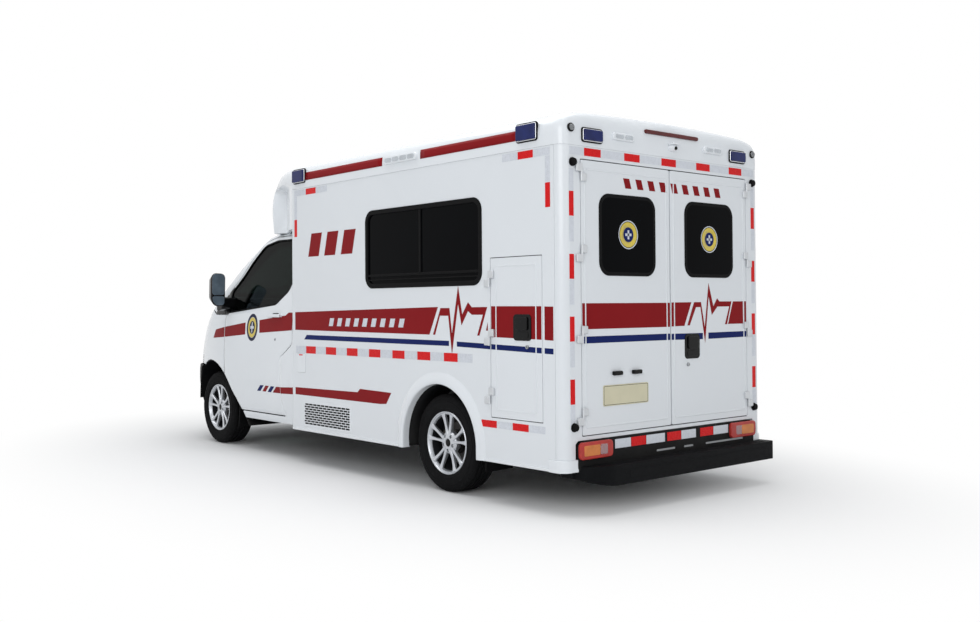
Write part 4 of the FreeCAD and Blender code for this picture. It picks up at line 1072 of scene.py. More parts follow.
def dashboard():
    """Dashboard with its dials, vents and screen."""
    half = 0.885
    board = plates("board", [rounded([(FRONT - 0.354, 0.965, 0.03), (FRONT - 0.354, 1.385, 0.02),
                                      (FRONT - 0.42, 1.392, 0.03), (FRONT - 0.60, 1.285, 0.07),
                                      (FRONT - 0.632, 1.18, 0.05), (FRONT - 0.56, 0.935, 0.05)], 10)], "xz",
                   -half, half, 0.02, 3)
    hood = plates("dial_hood", [rounded([(0.24, 1.20, 0.03), (0.62, 1.20, 0.03), (0.60, 1.372, 0.08),
                                         (0.26, 1.372, 0.08)], 10)], "yz", FRONT - 0.66, FRONT - 0.45, 0.012, 3)
    stack = block("centre_stack", (FRONT - 0.69, -0.17, 0.90), (FRONT - 0.50, 0.17, 1.30), 0.03, 3)
    glovebox = block("glove_box", (FRONT - 0.645, -0.72, 1.00), (FRONT - 0.50, -0.26, 1.19), 0.02, 3)
    dress(joined("dashboard_body", [board, hood, stack, glovebox]), "body", "cab_trim", F.trim,
          replaces=["dashboard"])
    screen = block("dash_screen", (FRONT - 0.694, -0.12, 1.12), (FRONT - 0.688, 0.12, 1.26), 0.002)
    dials = [rod("dial", "x", (FRONT - 0.661, y, 1.285), 0.052, 0.012, 0.003, 32) for y in (0.36, 0.50)]
    knobs = [rod("knob", "x", (FRONT - 0.70, y, 1.03), 0.018, 0.03, 0.003, 24) for y in (-0.09, 0, 0.09)]
    dress(joined("dash_controls", [screen] + dials + knobs), "body", "cab_trim", F.gloss)
    vents = [block("vent", (FRONT - 0.638, y - 0.055, 1.196 + 0.013 * k), (FRONT - 0.60, y + 0.055, 1.2015 + 0.013 * k))
             for y in (-0.80, -0.10, 0.10, 0.76) for k in range(5)]
    dress(joined("dash_vents", vents), "body", "cab_trim", F.black)


def steering_wheel():
    """Rim, hub, spokes and column, leaning back."""
    lean = math.radians(28)
    axis = Vector((-math.cos(lean), 0, math.sin(lean)))
    centre = Vector((FRONT - 0.79, 0.43, 1.20))
    tilt = (0, -(math.pi / 2 - lean), 0)
    ring = torus("wheel_ring", centre, 0.188, 0.0155, tilt, 64)
    rest()
    bpy.ops.mesh.primitive_cylinder_add(vertices=40, radius=0.062, depth=0.045, location=centre - axis * 0.012,
                                        rotation=tilt)
    hub = soften(named("wheel_hub"), 0.012, 3)
    spokes = []
    for turn in (0, 90, 180):
        spoke = block("wheel_spoke", (0.04, -0.022, -0.008), (0.182, 0.022, 0.008), 0.006, 2)
        spoke.data.transform(Matrix.Rotation(math.radians(turn - 90), 4, "Z"))
        spoke.data.transform(Matrix.Rotation(-(math.pi / 2 - lean), 4, "Y"))
        spoke.data.transform(Matrix.Translation(centre))
        spokes.append(spoke)
    rest()
    bpy.ops.mesh.primitive_cylinder_add(vertices=32, radius=0.036, depth=0.24, location=centre - axis * 0.14,
                                        rotation=tilt)
    column = soften(named("wheel_column"), 0.004)
    dress(joined("steering_wheel", [ring, hub, column] + spokes), "body", "cab_trim", F.gloss)


def padding(name, outline, low, high, puff):
    """Foam pad under cloth: a rounded block blown up a little by a cloth simulation."""
    pad = plates(name, [outline], "xz", low, high)
    soften(pad, 0.03, 3, 40)
    modify(pad, "REMESH", mode="VOXEL", voxel_size=0.011)
    start = np.array([v.co for v in pad.data.vertices])
    pick(pad)
    bpy.ops.object.modifier_add(type="CLOTH")
    cloth = pad.modifiers[-1]
    cloth.settings.use_pressure = True
    cloth.settings.uniform_pressure_force = 4.0
    cloth.settings.quality = 5
    cloth.settings.effector_weights.gravity = 0.0
    for step in range(1, 15):
        bpy.context.scene.frame_set(step)
    shaped = pad.evaluated_get(bpy.context.evaluated_depsgraph_get())
    moved = np.array([v.co for v in shaped.data.vertices]) - start
    length = np.linalg.norm(moved, axis=1)[:, None] + 1e-9
    moved = moved * np.minimum(1, puff / length)
    pad.modifiers.remove(cloth)
    for vert, point in zip(pad.data.vertices, start + moved):
        vert.co = point
    bpy.context.scene.frame_set(1)
    modify(pad, "SMOOTH", factor=0.6, iterations=3)
    modify(pad, "SUBSURF", levels=1, render_levels=1)
    return smooth(pad, 60)


def seats():
    """Two front seats: padded cushion, back and head restraint on a base."""
    mid = 0.43
    shapes = (("cushion_left", 0.235, 0.010, [(2.515, 0.862, 0.03), (2.515, 0.955, 0.04), (3.005, 0.998, 0.05),
                                              (3.005, 0.862, 0.04)]),
              ("seat_back_left", 0.225, 0.010, [(2.480, 0.915, 0.03), (2.345, 1.548, 0.03), (2.425, 1.572, 0.04),
                                                (2.585, 0.950, 0.03)]),
              ("head_rest_left", 0.118, 0.006, [(2.355, 1.612, 0.02), (2.333, 1.768, 0.025), (2.392, 1.782, 0.025),
                                                (2.418, 1.618, 0.02)]))
    pads = [padding(name, side_line(shape, 15), mid - half, mid + half, puff) for name, half, puff, shape in shapes]
    for pad in pads:
        twin = copied(pad, pad.name.replace("left", "right"), (0, -2 * mid, 0))
        for piece in (pad, twin):
            dress(piece, "body", "seat_cloth", F.cloth, replaces=["cab_seats"] if piece is pads[0] else ())
    for y, tag in ((mid, "_left"), (-mid, "_right")):
        base = block("seat_base", (AXLE + 2.57, y - 0.20, 0.645), (AXLE + 2.95, y + 0.20, 0.865), 0.02, 3)
        stalks = [rod("stalk", "z", (AXLE + 2.385, y + s * 0.05, 1.59), 0.007, 0.09) for s in (1, -1)]
        arm = block("recliner", (AXLE + 2.47, y + 0.228, 0.86), (AXLE + 2.62, y + 0.246, 0.98), 0.008, 2)
        dress(joined("seat_frame" + tag, [base, arm] + stalks), "body", "cab_trim", F.trim)


def engine_bay():
    """Cooling pack, battery, airbox and inner wings under the bonnet."""
    core = block("radiator", (AXLE + 4.36, -0.50, 0.47), (AXLE + 4.42, 0.50, 0.98), 0.006)
    bar = block("lock_bar", (AXLE + 4.36, -0.62, 0.985), (AXLE + 4.43, 0.62, 1.02), 0.006)
    dress(joined("cooling_pack", [core, bar]), "body", "chassis_black", F.under)
    battery = block("battery", (AXLE + 3.86, -0.58, 0.86), (AXLE + 4.12, -0.40, 1.05), 0.01)
    box = block("air_box", (AXLE + 3.86, 0.38, 0.84), (AXLE + 4.20, 0.60, 1.07), 0.03, 3)
    cover = block("engine_cover", (FRONT + 0.02, -0.20, 1.012), (FRONT + 0.42, 0.22, 1.06), 0.02, 3)
    dress(joined("bay_boxes", [battery, box, cover]), "body", "black_plastic", F.black)
    wings = [block("inner_wing", (AXLE + 3.47, s * 0.70 - 0.01, 0.845), (AXLE + 4.28, s * 0.70 + 0.01, 1.0), 0.004)
             for s in (1, -1)]
    dress(joined("inner_wings", wings), "body", "body_paint", F.paint)


# ---- wheels ----
BOLT_R = 0.056


def wheel():
    """Road wheel about the origin, facing +Y: ribbed tyre, alloy with five split spokes, nuts, cap and brake disc."""
    origin = (0, 0, 0)
    # tyre: section as radius, y
    outer = [(0.228, 0.086), (0.2315, 0.097), (0.240, 0.1045), (0.250, 0.1075), (0.2515, 0.1095),
             (0.2545, 0.1095), (0.256, 0.1080), (0.272, 0.1105), (0.300, 0.1100), (0.3015, 0.1115), (0.306, 0.1115),
             (0.3075, 0.1090), (0.322, 0.1070), (0.334, 0.1030), (0.343, 0.0970), (0.3495, 0.0895), (0.3545, 0.080)]
    tread, floor = 0.3558, 0.3470
    grooves = []
    for g in (0.062, 0.021, -0.021, -0.062):
        grooves += [(tread, g + 0.0065), (floor, g + 0.0045), (floor, g - 0.0045), (tread, g - 0.0065)]
    bore = [(0.208, -0.082), (0.205, 0.0), (0.208, 0.082)]
    profile = outer + grooves + [(r, -w) for r, w in outer[::-1]] + bore
    tyre = lathe("tyre_body", profile, origin, 96, 40)
    lugs = []
    for s in (1, -1):
        lug = [(0.0800, 0.3556), (0.0902, 0.3514), (0.0982, 0.3444), (0.1046, 0.3335), (0.0980, 0.3330),
               (0.0800, 0.3420)]
        lug = plates("lug", [[(s * y, z) for y, z in lug]], "yz", -0.0150, 0.0150)
        turned(lug, math.radians(3 if s > 0 else 0), "Y", origin)
        for _ in range(60):
            lugs.append(copied(lug, "lug"))
            turned(lug, math.radians(6), "Y", origin)
        bpy.data.objects.remove(lug)
    tyre = joined("rubber", [tyre] + lugs)

    lip = [(0.2285, 0.094), (0.2305, 0.0985), (0.2275, 0.1015), (0.2215, 0.1010), (0.2150, 0.0930), (0.2080, 0.0700),
           (0.2010, 0.0200), (0.2000, -0.0700), (0.2120, -0.0860), (0.2280, -0.0900), (0.2290, -0.0960),
           (0.2230, -0.0970), (0.2060, -0.0900), (0.1950, -0.0740), (0.1950, 0.0200), (0.2020, 0.0760),
           (0.2110, 0.0930)]
    barrel = lathe("barrel", lip, origin, 96, 30)
    hub = lathe("hub", [(0.0285, 0.086), (0.034, 0.0895), (0.050, 0.0890), (0.074, 0.082), (0.084, 0.070),
                        (0.084, 0.040), (0.0285, 0.040)], origin, 60, 30)
    fives = [math.radians(72 * k + 54) for k in range(5)]
    bolts = [(BOLT_R * math.cos(a), BOLT_R * math.sin(a)) for a in fives]
    cut(hub, joined("holes", [rod("hole", "y", (x, 0.085, z), 0.0125, 0.05, 0, 20) for x, z in bolts]))
    smooth(hub, 32)
    arms = [spoke(math.radians(72 * k + 90), lean) for k in range(5) for lean in (-1, 1)]
    alloy = joined("alloy", [barrel, hub] + arms)
    for _ in range(2):
        alloy.data.materials.append(None)
    for face in alloy.data.polygons:          # the shaded barrel behind the spokes
        x, y, z = face.center
        face.material_index = int(math.hypot(x, z) > 0.190 and y < 0.068)
    nuts = joined("nuts", [rod("nut", "y", (x, 0.070, z), 0.0095, 0.022, 0.002, 6) for x, z in bolts])
    cap = lathe("cap", [(0.0004, 0.0905), (0.016, 0.0905), (0.023, 0.0885), (0.0275, 0.085), (0.0275, 0.062),
                        (0.0004, 0.062)], origin, 40, 30)
    disc = lathe("disc", [(0.062, -0.030), (0.062, 0.012), (0.086, 0.012), (0.090, -0.012), (0.146, -0.012),
                          (0.148, -0.014), (0.148, -0.034), (0.146, -0.036), (0.090, -0.036), (0.088, -0.030)],
                 origin, 60, 30)
    return ((tyre, "tyre", [F.tyre]), (alloy, "alloy", [F.alloy, F.barrel]), (nuts, "alloy", [F.satin]),
            (cap, "black_trim", [F.gloss]), (disc, "alloy", [F.brake]))


def spoke(turn, lean):
    """One arm of a split spoke: from the hub it runs out and away from its twin to the rim."""
    rows = []
    for i in range(13):
        t = i / 12
        r = 0.058 + (0.2165 - 0.058) * t
        angle = turn + lean * (0.0105 + 0.040 * t ** 1.1) / r
        width = 0.0145 - 0.0040 * math.sin(math.pi * min(1, t * 1.1)) + 0.007 * max(0, t - 0.82) / 0.18
        top = 0.088 + 0.010 * t ** 1.5 - 0.004 * math.sin(math.pi * t)
        deep = 0.034 - 0.012 * t
        ring = [(-width, top - 0.006), (-width * 0.72, top), (width * 0.72, top), (width, top - 0.006),
                (width * 0.8, top - deep), (-width * 0.8, top - deep)]
        across = Vector((-math.sin(angle), 0, math.cos(angle)))
        out = Vector((math.cos(angle), 0, math.sin(angle)))
        rows.append([tuple(out * r + across * u + Vector((0, v, 0))) for u, v in ring])
    return lofted("arm", rows, ring=True, angle=30)


def caliper(name, centre, side, body, ahead):
    """Brake caliper over the disc, behind or ahead of the hub."""
    x, y, z = centre
    line = rounded([(x + ahead * 0.150, z + 0.085, 0.02), (x + ahead * 0.176, z, 0.05),
                    (x + ahead * 0.150, z - 0.085, 0.02), (x + ahead * 0.096, z - 0.060, 0.02),
                    (x + ahead * 0.096, z + 0.060, 0.02)], 12)
    dress(plates(name, [line], "xz", y - side * 0.062, y + side * 0.010, 0.008, 3), body, "cast_iron", F.iron)


def wheels():
    """One wheel copied to the four corners, with the calipers."""
    pattern = wheel()
    for side, tag in SIDES:
        for end, x, y, ahead, holder in (("front", FRONT, FRONT_Y, -1, "steer" + tag[:2]),
                                         ("rear", AXLE, REAR_Y, 1, "body")):
            centre = (x, side * y, TYRE_R)
            for piece, slot, materials in pattern:
                one = copied(piece, end + "_" + piece.name + tag)
                if side < 0:
                    turned(one, math.pi, "Z", (0, 0, 0))
                one.data.transform(Matrix.Translation(centre))
                part = {"rubber": "_tyre", "alloy": "_rim"}.get(piece.name)
                dress(one, "wheel_" + end[0] + tag[1], slot, *materials, replaces=[end + part + tag] if part else ())
            caliper(end + "_caliper" + tag, centre, side, holder, ahead)
    for piece, _, _ in pattern:
        bpy.data.objects.remove(piece)


# ---- body box ----
WINDOW = oblong(AXLE - 0.480, AXLE + 0.930, 1.514, 2.100, 0.080, 9)
ARCH_R = 0.432
LOCKER = (AXLE - 1.095, AXLE - 0.583, 0.595, 1.682)
ENTRY = (AXLE + 1.130, AXLE + 1.900, 0.430, 2.210)
ENTRY_GLASS = oblong(AXLE + 1.250, AXLE + 1.780, 1.480, 2.070, 0.080, 9)
LEAF = (0.005, 0.890, 0.511, 2.300)
LEAF_GLASS = (0.163, 0.720, 1.553, 2.090)
SEAM = SEAM_Z - 0.001


def arch_outline(radius, foot):
    """Inverted U round a rear wheel."""
    line = [(AXLE + radius, foot)]
    line += [(AXLE + radius * math.cos(math.radians(a)), TYRE_R + radius * math.sin(math.radians(a)))
             for a in range(0, 181, 5)]
    return line + [(AXLE - radius, foot)]


def flare(side):
    """Soft bulge round the wheel arch with a rounded lip and its return inside."""
    section = [(0.090, 0.0004), (0.082, 0.0030), (0.070, 0.0088), (0.056, 0.0148), (0.040, 0.0192), (0.026, 0.0208),
               (0.014, 0.0208), (0.006, 0.0185), (0.002, 0.0135), (0.0005, 0.006), (0.0, -0.010), (0.0, -0.049),
               (0.006, -0.049), (0.006, -0.012), (0.090, -0.012)]
    path = [(AXLE + ARCH_R, SKIRT_Z - 0.002, 1.0, 0.0), (AXLE + ARCH_R, SKIRT_Z + 0.03, 1.0, 0.0)]
    path += [(AXLE + ARCH_R * math.cos(math.radians(a)), TYRE_R + ARCH_R * math.sin(math.radians(a)),
              math.cos(math.radians(a)), math.sin(math.radians(a))) for a in np.arange(0, 180.1, 3.75)]
    path += [(AXLE - ARCH_R, SKIRT_Z + 0.03, -1.0, 0.0), (AXLE - ARCH_R, SKIRT_Z - 0.002, -1.0, 0.0)]
    rows = [[(x + a * nx, side * (SIDE_Y + out), z + a * nz) for a, out in section] for x, z, nx, nz in path]
    return lofted("wheel_flare", rows, ring=True, angle=40)


def wall_panel(side, holes, name):
    """Side wall with rounded skirt edge, cut for windows, doors and the wheel arch."""
    low, high = sorted((side * (SIDE_Y - 0.045), side * SIDE_Y))
    wall = plates(name, [[(BOX_REAR + 0.0705, SKIRT_Z), (BOX_FRONT - 0.031, SKIRT_Z), (BOX_FRONT - 0.031, SEAM),
                          (BOX_REAR + 0.0705, SEAM)]], "xz", low, high)
    return soften(pierce(wall, "xz", side * 0.95, side * 1.15, *holes), 0.0025, 2)


def post(name, x, side, radius, ahead):
    """Rounded corner post between a side wall and an end wall."""
    y = side * SIDE_Y
    line = [(x + ahead * radius, y)]
    for a in np.radians(np.arange(10, 91, 10)):
        line.append((x + ahead * radius * (1 - math.sin(a)), y - side * radius * (1 - math.cos(a))))
    line += [(x + ahead * 0.045, y - side * radius), (x + ahead * radius, y - side * 0.045)]
    dress(plates(name, [line], "xy", SKIRT_Z, SEAM, 0.0012), "body", "body_paint", F.panel)


def window_set(name, outline, outside, way, body, nodes):
    """Sliding window: black rubber frame with its bars, and dark glass; way points outwards."""
    plane = "xz"
    frame_ring = plates(name + "_frame", [inset(outline, -0.016)], plane, outside - way * 0.020, outside + way * 0.006)
    pierce(frame_ring, plane, outside - 0.1, outside + 0.1, inset(outline, 0.020))
    parts = [soften(frame_ring, 0.0045, 4)]
    u0, u1 = min(p[0] for p in outline) + 0.012, max(p[0] for p in outline) - 0.012
    top = max(p[1] for p in outline) - 0.012
    sill = min(p[1] for p in outline) + 0.085
    middle_x = (u0 + u1) / 2
    low, high = sorted((outside - way * 0.012, outside + way * 0.001))
    for a, b, c, d in ((u0, u1, sill - 0.010, sill + 0.010), (u0, u1, sill - 0.040, sill - 0.030),
                       (middle_x - 0.012, middle_x + 0.012, sill, top)):
        parts.append(block("bar", place(plane, a, c, low), place(plane, b, d, high), 0.003))
    dress(joined(name + "_rubber", parts), body, "black_trim", F.rubber)
    glass = plates(name + "_glass", [inset(outline, 0.012)], plane, outside - way * 0.014, outside - way * 0.009)
    dress(glass, body, "dark_glass", F.privacy, replaces=nodes)


def hinge(name, centre, plane, way, body, leaf_body, hand=1, lift=0.030):
    """Two-knuckle strap hinge: one block on the post and one on the door."""
    u, v, level = centre
    for du, dv, on in ((-0.022, lift, leaf_body), (0.026, -lift, body)):
        lo = place(plane, u + du * hand - 0.024, v + dv - 0.026, level - 0.004)
        hi = place(plane, u + du * hand + 0.024, v + dv + 0.026, level + way * 0.019)
        leaf = block(name + ("_post" if on == body else "_leaf"), lo, hi, 0.006, 3)
        dress(leaf, on, "black_trim", F.hinge_metal)
    pin = rod(name + "_pin", "z", place(plane, u, v, level + way * 0.012), 0.0075, 0.115, 0.002, 20)
    dress(pin, body, "black_trim", F.hinge_metal)


def paddle(name, u, v, plane, outside, way, body, wide, tall):
    """Black paddle latch in a rounded dish, and a key lock below it."""
    ring = oblong(u - wide / 2, u + wide / 2, v - tall / 2, v + tall / 2, 0.028, 12)
    a, b = outside - way * 0.006, outside + way * 0.006
    plate = plates(name + "_plate", [ring], plane, a, b, 0.004, 3)
    flap = oblong(u - wide * 0.34, u + wide * 0.34, v - tall * 0.10, v + tall * 0.40, 0.016, 12)
    grip = plates(name + "_grip", [flap], plane, outside + way * 0.004, outside + way * 0.017, 0.005, 3)
    low = oblong(u - wide * 0.36, u + wide * 0.36, v - tall * 0.40, v - tall * 0.16, 0.014, 12)
    lip = plates(name + "_lip", [low], plane, outside + way * 0.004, outside + way * 0.010, 0.003, 2)
    dress(joined(name, [plate, grip, lip]), body, "black_trim", F.gloss)
    axis = {"xz": "y", "yz": "x"}[plane]
    u, v = u - way * 0.05, v - tall / 2 - 0.040
    key = rod(name + "_lock", axis, place(plane, u, v, outside + way * 0.004), 0.013, 0.014, 0.002, 28)
    slit = block(name + "_slit", [c - 0.0016 for c in place(plane, u, v - 0.004, outside + way * 0.010)],
                 [c + 0.0016 for c in place(plane, u, v + 0.004, outside + way * 0.0105)])
    dress(key, body, "black_trim", F.satin)
    dress(slit, body, "black_trim", F.black)


def side_walls():
    """Walls with their windows, wheel flares, skirt edges, posts and corner feet."""
    for side, tag in SIDES:
        wall_name = tag[1:] + "_wall"
        hatch = LOCKER if side > 0 else ENTRY
        gap = 0.004
        holes = [inset(WINDOW, -0.002), arch_outline(ARCH_R + 0.010, 0.1),
                 oblong(hatch[0] - gap, hatch[1] + gap, hatch[2] - gap, hatch[3] + gap, 0.006)]
        wall = wall_panel(side, holes, wall_name + "_panel")
        dress(wall, "body", "body_paint", F.panel, replaces=[wall_name])
        dress(called(flare(side), "wheel_flare" + tag), "body", "body_paint", F.paint)
        # rolled edge along the skirt, on both sides of the arch
        beads = []
        for x0, x1 in ((BOX_REAR + 0.03, AXLE - ARCH_R - 0.03), (AXLE + ARCH_R + 0.03, BOX_FRONT - 0.02)):
            lo, hi = sorted((side * (SIDE_Y - 0.012), side * (SIDE_Y + 0.005)))
            beads.append(block("bead", (x0, lo, SKIRT_Z - 0.004), (x1, hi, SKIRT_Z + 0.018), 0.005, 3))
        dress(joined("skirt_bead" + tag, beads), "body", "body_paint", F.paint)
        post("front_post" + tag, BOX_FRONT, side, 0.030, -1)
        window_set("side_window" + tag, WINDOW, side * SIDE_Y, side, "body", ["side_windows"] if side > 0 else ())
        # moulded foot at the rear corner
        x, y = BOX_REAR, SIDE_Y
        foot = rounded([(x - 0.010, y - 0.13, 0), (x - 0.010, y + 0.010, 0.075), (x + 0.13, y + 0.010, 0),
                        (x + 0.13, y - 0.010, 0), (x + 0.02, y - 0.010, 0.055), (x + 0.02, y - 0.13, 0)], 10)
        foot = plates("corner_foot" + tag, [foot], "xy", SKIRT_Z - 0.006, SKIRT_Z + 0.075, 0.006, 3)
        dress(handed(foot, side), "body", "body_paint", F.paint)


def box_inside():
    """Linings of the walls, the floor mat and the locker's box and shelf."""
    inner = []
    for side, opening in ((1, oblong(LOCKER[0] + 0.01, LOCKER[1] - 0.01, LOCKER[2], LOCKER[3] - 0.01)),
                          (-1, oblong(ENTRY[0] + 0.004, ENTRY[1] - 0.004, 0.4, ENTRY[3] - 0.004))):
        whole = [(BOX_REAR + 0.06, FLOOR_Z), (BOX_FRONT - 0.05, FLOOR_Z), (BOX_FRONT - 0.05, SEAM),
                 (BOX_REAR + 0.06, SEAM)]
        lining = plates("lining", [whole], "xz", *sorted((side * (SIDE_Y - 0.049), side * (SIDE_Y - 0.046))))
        inner.append(pierce(lining, "xz", side * 0.95, side * 1.2, WINDOW, arch_outline(ARCH_R + 0.012, 0.1), opening))
    front = plates("front_lining", [oblong(-1.015, 1.015, FLOOR_Z, SEAM)], "yz", BOX_FRONT - 0.05, BOX_FRONT)
    pierce(front, "yz", BOX_FRONT - 0.1, BOX_FRONT + 0.1, oblong(-0.30, 0.30, 1.30, 1.85, 0.06, 12))
    inner.append(soften(front, 0.003))
    dress(joined("body_lining", inner), "body", "body_paint", F.lining, replaces=["front_wall"])
    mat = block("floor_mat", (BOX_REAR + 0.072, -0.744, FLOOR_Z - 0.001), (BOX_FRONT - 0.052, 0.724, FLOOR_Z + 0.0025))
    dress(mat, "body", "floor_board", F.board)
    x0, x1, z0, z1 = LOCKER
    tray = block("locker_box", (x0 + 0.012, SIDE_Y - 0.325, z0 + 0.065), (x1 - 0.012, SIDE_Y - 0.046, z1 - 0.012))
    cavity = block("tool", (x0 + 0.014, SIDE_Y - 0.323, z0 + 0.067), (x1 - 0.014, SIDE_Y + 0.1, z1 - 0.014))
    dress(cut(tray, cavity), "body", "body_paint", F.lining)
    shelf = block("locker_shelf", (x0 + 0.014, SIDE_Y - 0.320, 1.16), (x1 - 0.014, SIDE_Y - 0.06, 1.172), 0.002)
    dress(shelf, "body", "alloy", F.satin)


def door_seal(name, box, radius, low, high, through):
    """Rubber strip round a door's opening."""
    x0, x1, z0, z1 = box
    seal = plates(name, [oblong(x0 - 0.0035, x1 + 0.0035, z0 - 0.0035, z1 + 0.0035, radius)], "xz", low, high)
    pierce(seal, "xz", *through, oblong(x0 - 0.0005, x1 + 0.0005, z0 - 0.0005, z1 + 0.0005, radius))
    dress(seal, "body", "black_trim", F.rubber)


def side_doors(sizes):
    """Locker door on the left and entry door on the right, each with its hinges and latch."""
    x0, x1, z0, z1 = LOCKER
    door = plates("locker_door_panel", [oblong(x0 + 0.001, x1 - 0.001, z0 + 0.001, z1 - 0.001, 0.008)], "xz",
                  SIDE_Y - 0.038, SIDE_Y, 0.002)
    ridge = border(x0 + 0.052, x1 - 0.052, z0 + 0.05, z1 - 0.05, "xz", SIDE_Y, 1)
    dress(joined("locker_door_panel", [door, ridge]), "locker", "body_paint", F.panel, replaces=["locker_door"])
    door_seal("locker_seal", LOCKER, 0.006, SIDE_Y - 0.044, SIDE_Y - 0.010, (0.9, 1.1))
    for i, z in enumerate((1.540, 1.140, 0.740)):
        hinge("locker_hinge_%d" % i, (x1 + 0.004, z, SIDE_Y), "xz", 1, "body", "locker")
    paddle("locker_latch", AXLE - 0.906, 1.210, "xz", SIDE_Y, 1, "locker", sizes.latch, sizes.latch)

    x0, x1, z0, z1 = ENTRY
    door = plates("entry_door_panel", [oblong(x0 + 0.001, x1 - 0.001, z0 + 0.001, z1 - 0.001, 0.012)], "xz",
                  -SIDE_Y, -SIDE_Y + 0.044)
    soften(pierce(door, "xz", -1.2, -0.9, inset(ENTRY_GLASS, -0.002)), 0.002)
    ridge = border(x0 + 0.05, x1 - 0.05, z0 + 0.05, z1 - 0.05, "xz", -SIDE_Y, -1)
    dress(joined("entry_door_panel", [door, ridge]), "entry_door", "body_paint", F.panel, replaces=["side_door"])
    window_set("entry_window", ENTRY_GLASS, -SIDE_Y, -1, "entry_door", ["side_door_glass"])
    door_seal("entry_seal", ENTRY, 0.01, -SIDE_Y + 0.010, -SIDE_Y + 0.046, (-1.2, -0.9))
    for i, z in enumerate((2.03, 1.30, 0.60)):
        hinge("entry_hinge_%d" % i, (x1 + 0.004, z, -SIDE_Y), "xz", -1, "body", "entry_door")
    paddle("entry_latch", x0 + 0.13, 1.00, "xz", -SIDE_Y, -1, "entry_door", sizes.latch, sizes.latch)
    step = block("entry_step", (x0 + 0.03, -1.02, 0.345), (x1 - 0.03, -0.84, 0.375), 0.006)
    dress(step, "body", "step_rubber", F.tread)


def border(u0, u1, v0, v1, plane, outside, way):
    """Raised line pressed into a door a little inside its edge."""
    outer = oblong(u0, u1, v0, v1, 0.018, 15)
    ring = plates("ridge", [outer], plane, *sorted((outside - way * 0.004, outside + way * 0.0032)))
    return soften(pierce(ring, plane, outside - 0.1, outside + 0.1, inset(outer, 0.010)), 0.0024, 2)


def rear_end():
    """Rear frame with its corner posts, seals and door buffers."""
    half = LEAF[1]
    gap = 0.005
    near, far = BOX_REAR - 0.1, BOX_REAR + 0.1
    outline = [(-SIDE_Y + 0.068, SKIRT_Z), (SIDE_Y - 0.068, SKIRT_Z), (SIDE_Y - 0.068, SEAM), (-SIDE_Y + 0.068, SEAM)]
    ring = plates("rear_frame_panel", [outline], "yz", BOX_REAR, BOX_REAR + 0.068)
    pierce(ring, "yz", near, BOX_REAR + 0.2, oblong(-half - gap, half + gap, LEAF[2] - gap, LEAF[3] + gap, 0.012),
           oblong(-0.955, 0.955, 0.2, 0.482))
    dress(soften(ring, 0.002), "body", "body_paint", F.panel, replaces=["rear_frame"])
    for side, tag in SIDES:
        post("rear_post" + tag, BOX_REAR, side, 0.068, 1)
    gap = 0.0045
    seals = plates("rear_seal", [oblong(-half - gap, half + gap, LEAF[2] - gap, LEAF[3] + gap, 0.012)], "yz",
                   BOX_REAR + 0.012, BOX_REAR + 0.05)
    pierce(seals, "yz", near, far, oblong(-half, half, LEAF[2], LEAF[3], 0.012))
    dress(seals, "body", "black_trim", F.rubber)
    for side, tag in SIDES:
        buffers = []
        for z in (2.278, 0.572):
            buffers += [rod("stop", "x", (BOX_REAR - 0.013, side * 0.968, z), 0.0235, 0.027, 0.005, 28),
                        rod("cup", "x", (BOX_REAR - 0.004, side * 0.968, z), 0.029, 0.010, 0.002, 28)]
        dress(joined("door_buffer" + tag, buffers), "body", "black_trim", F.rubber)


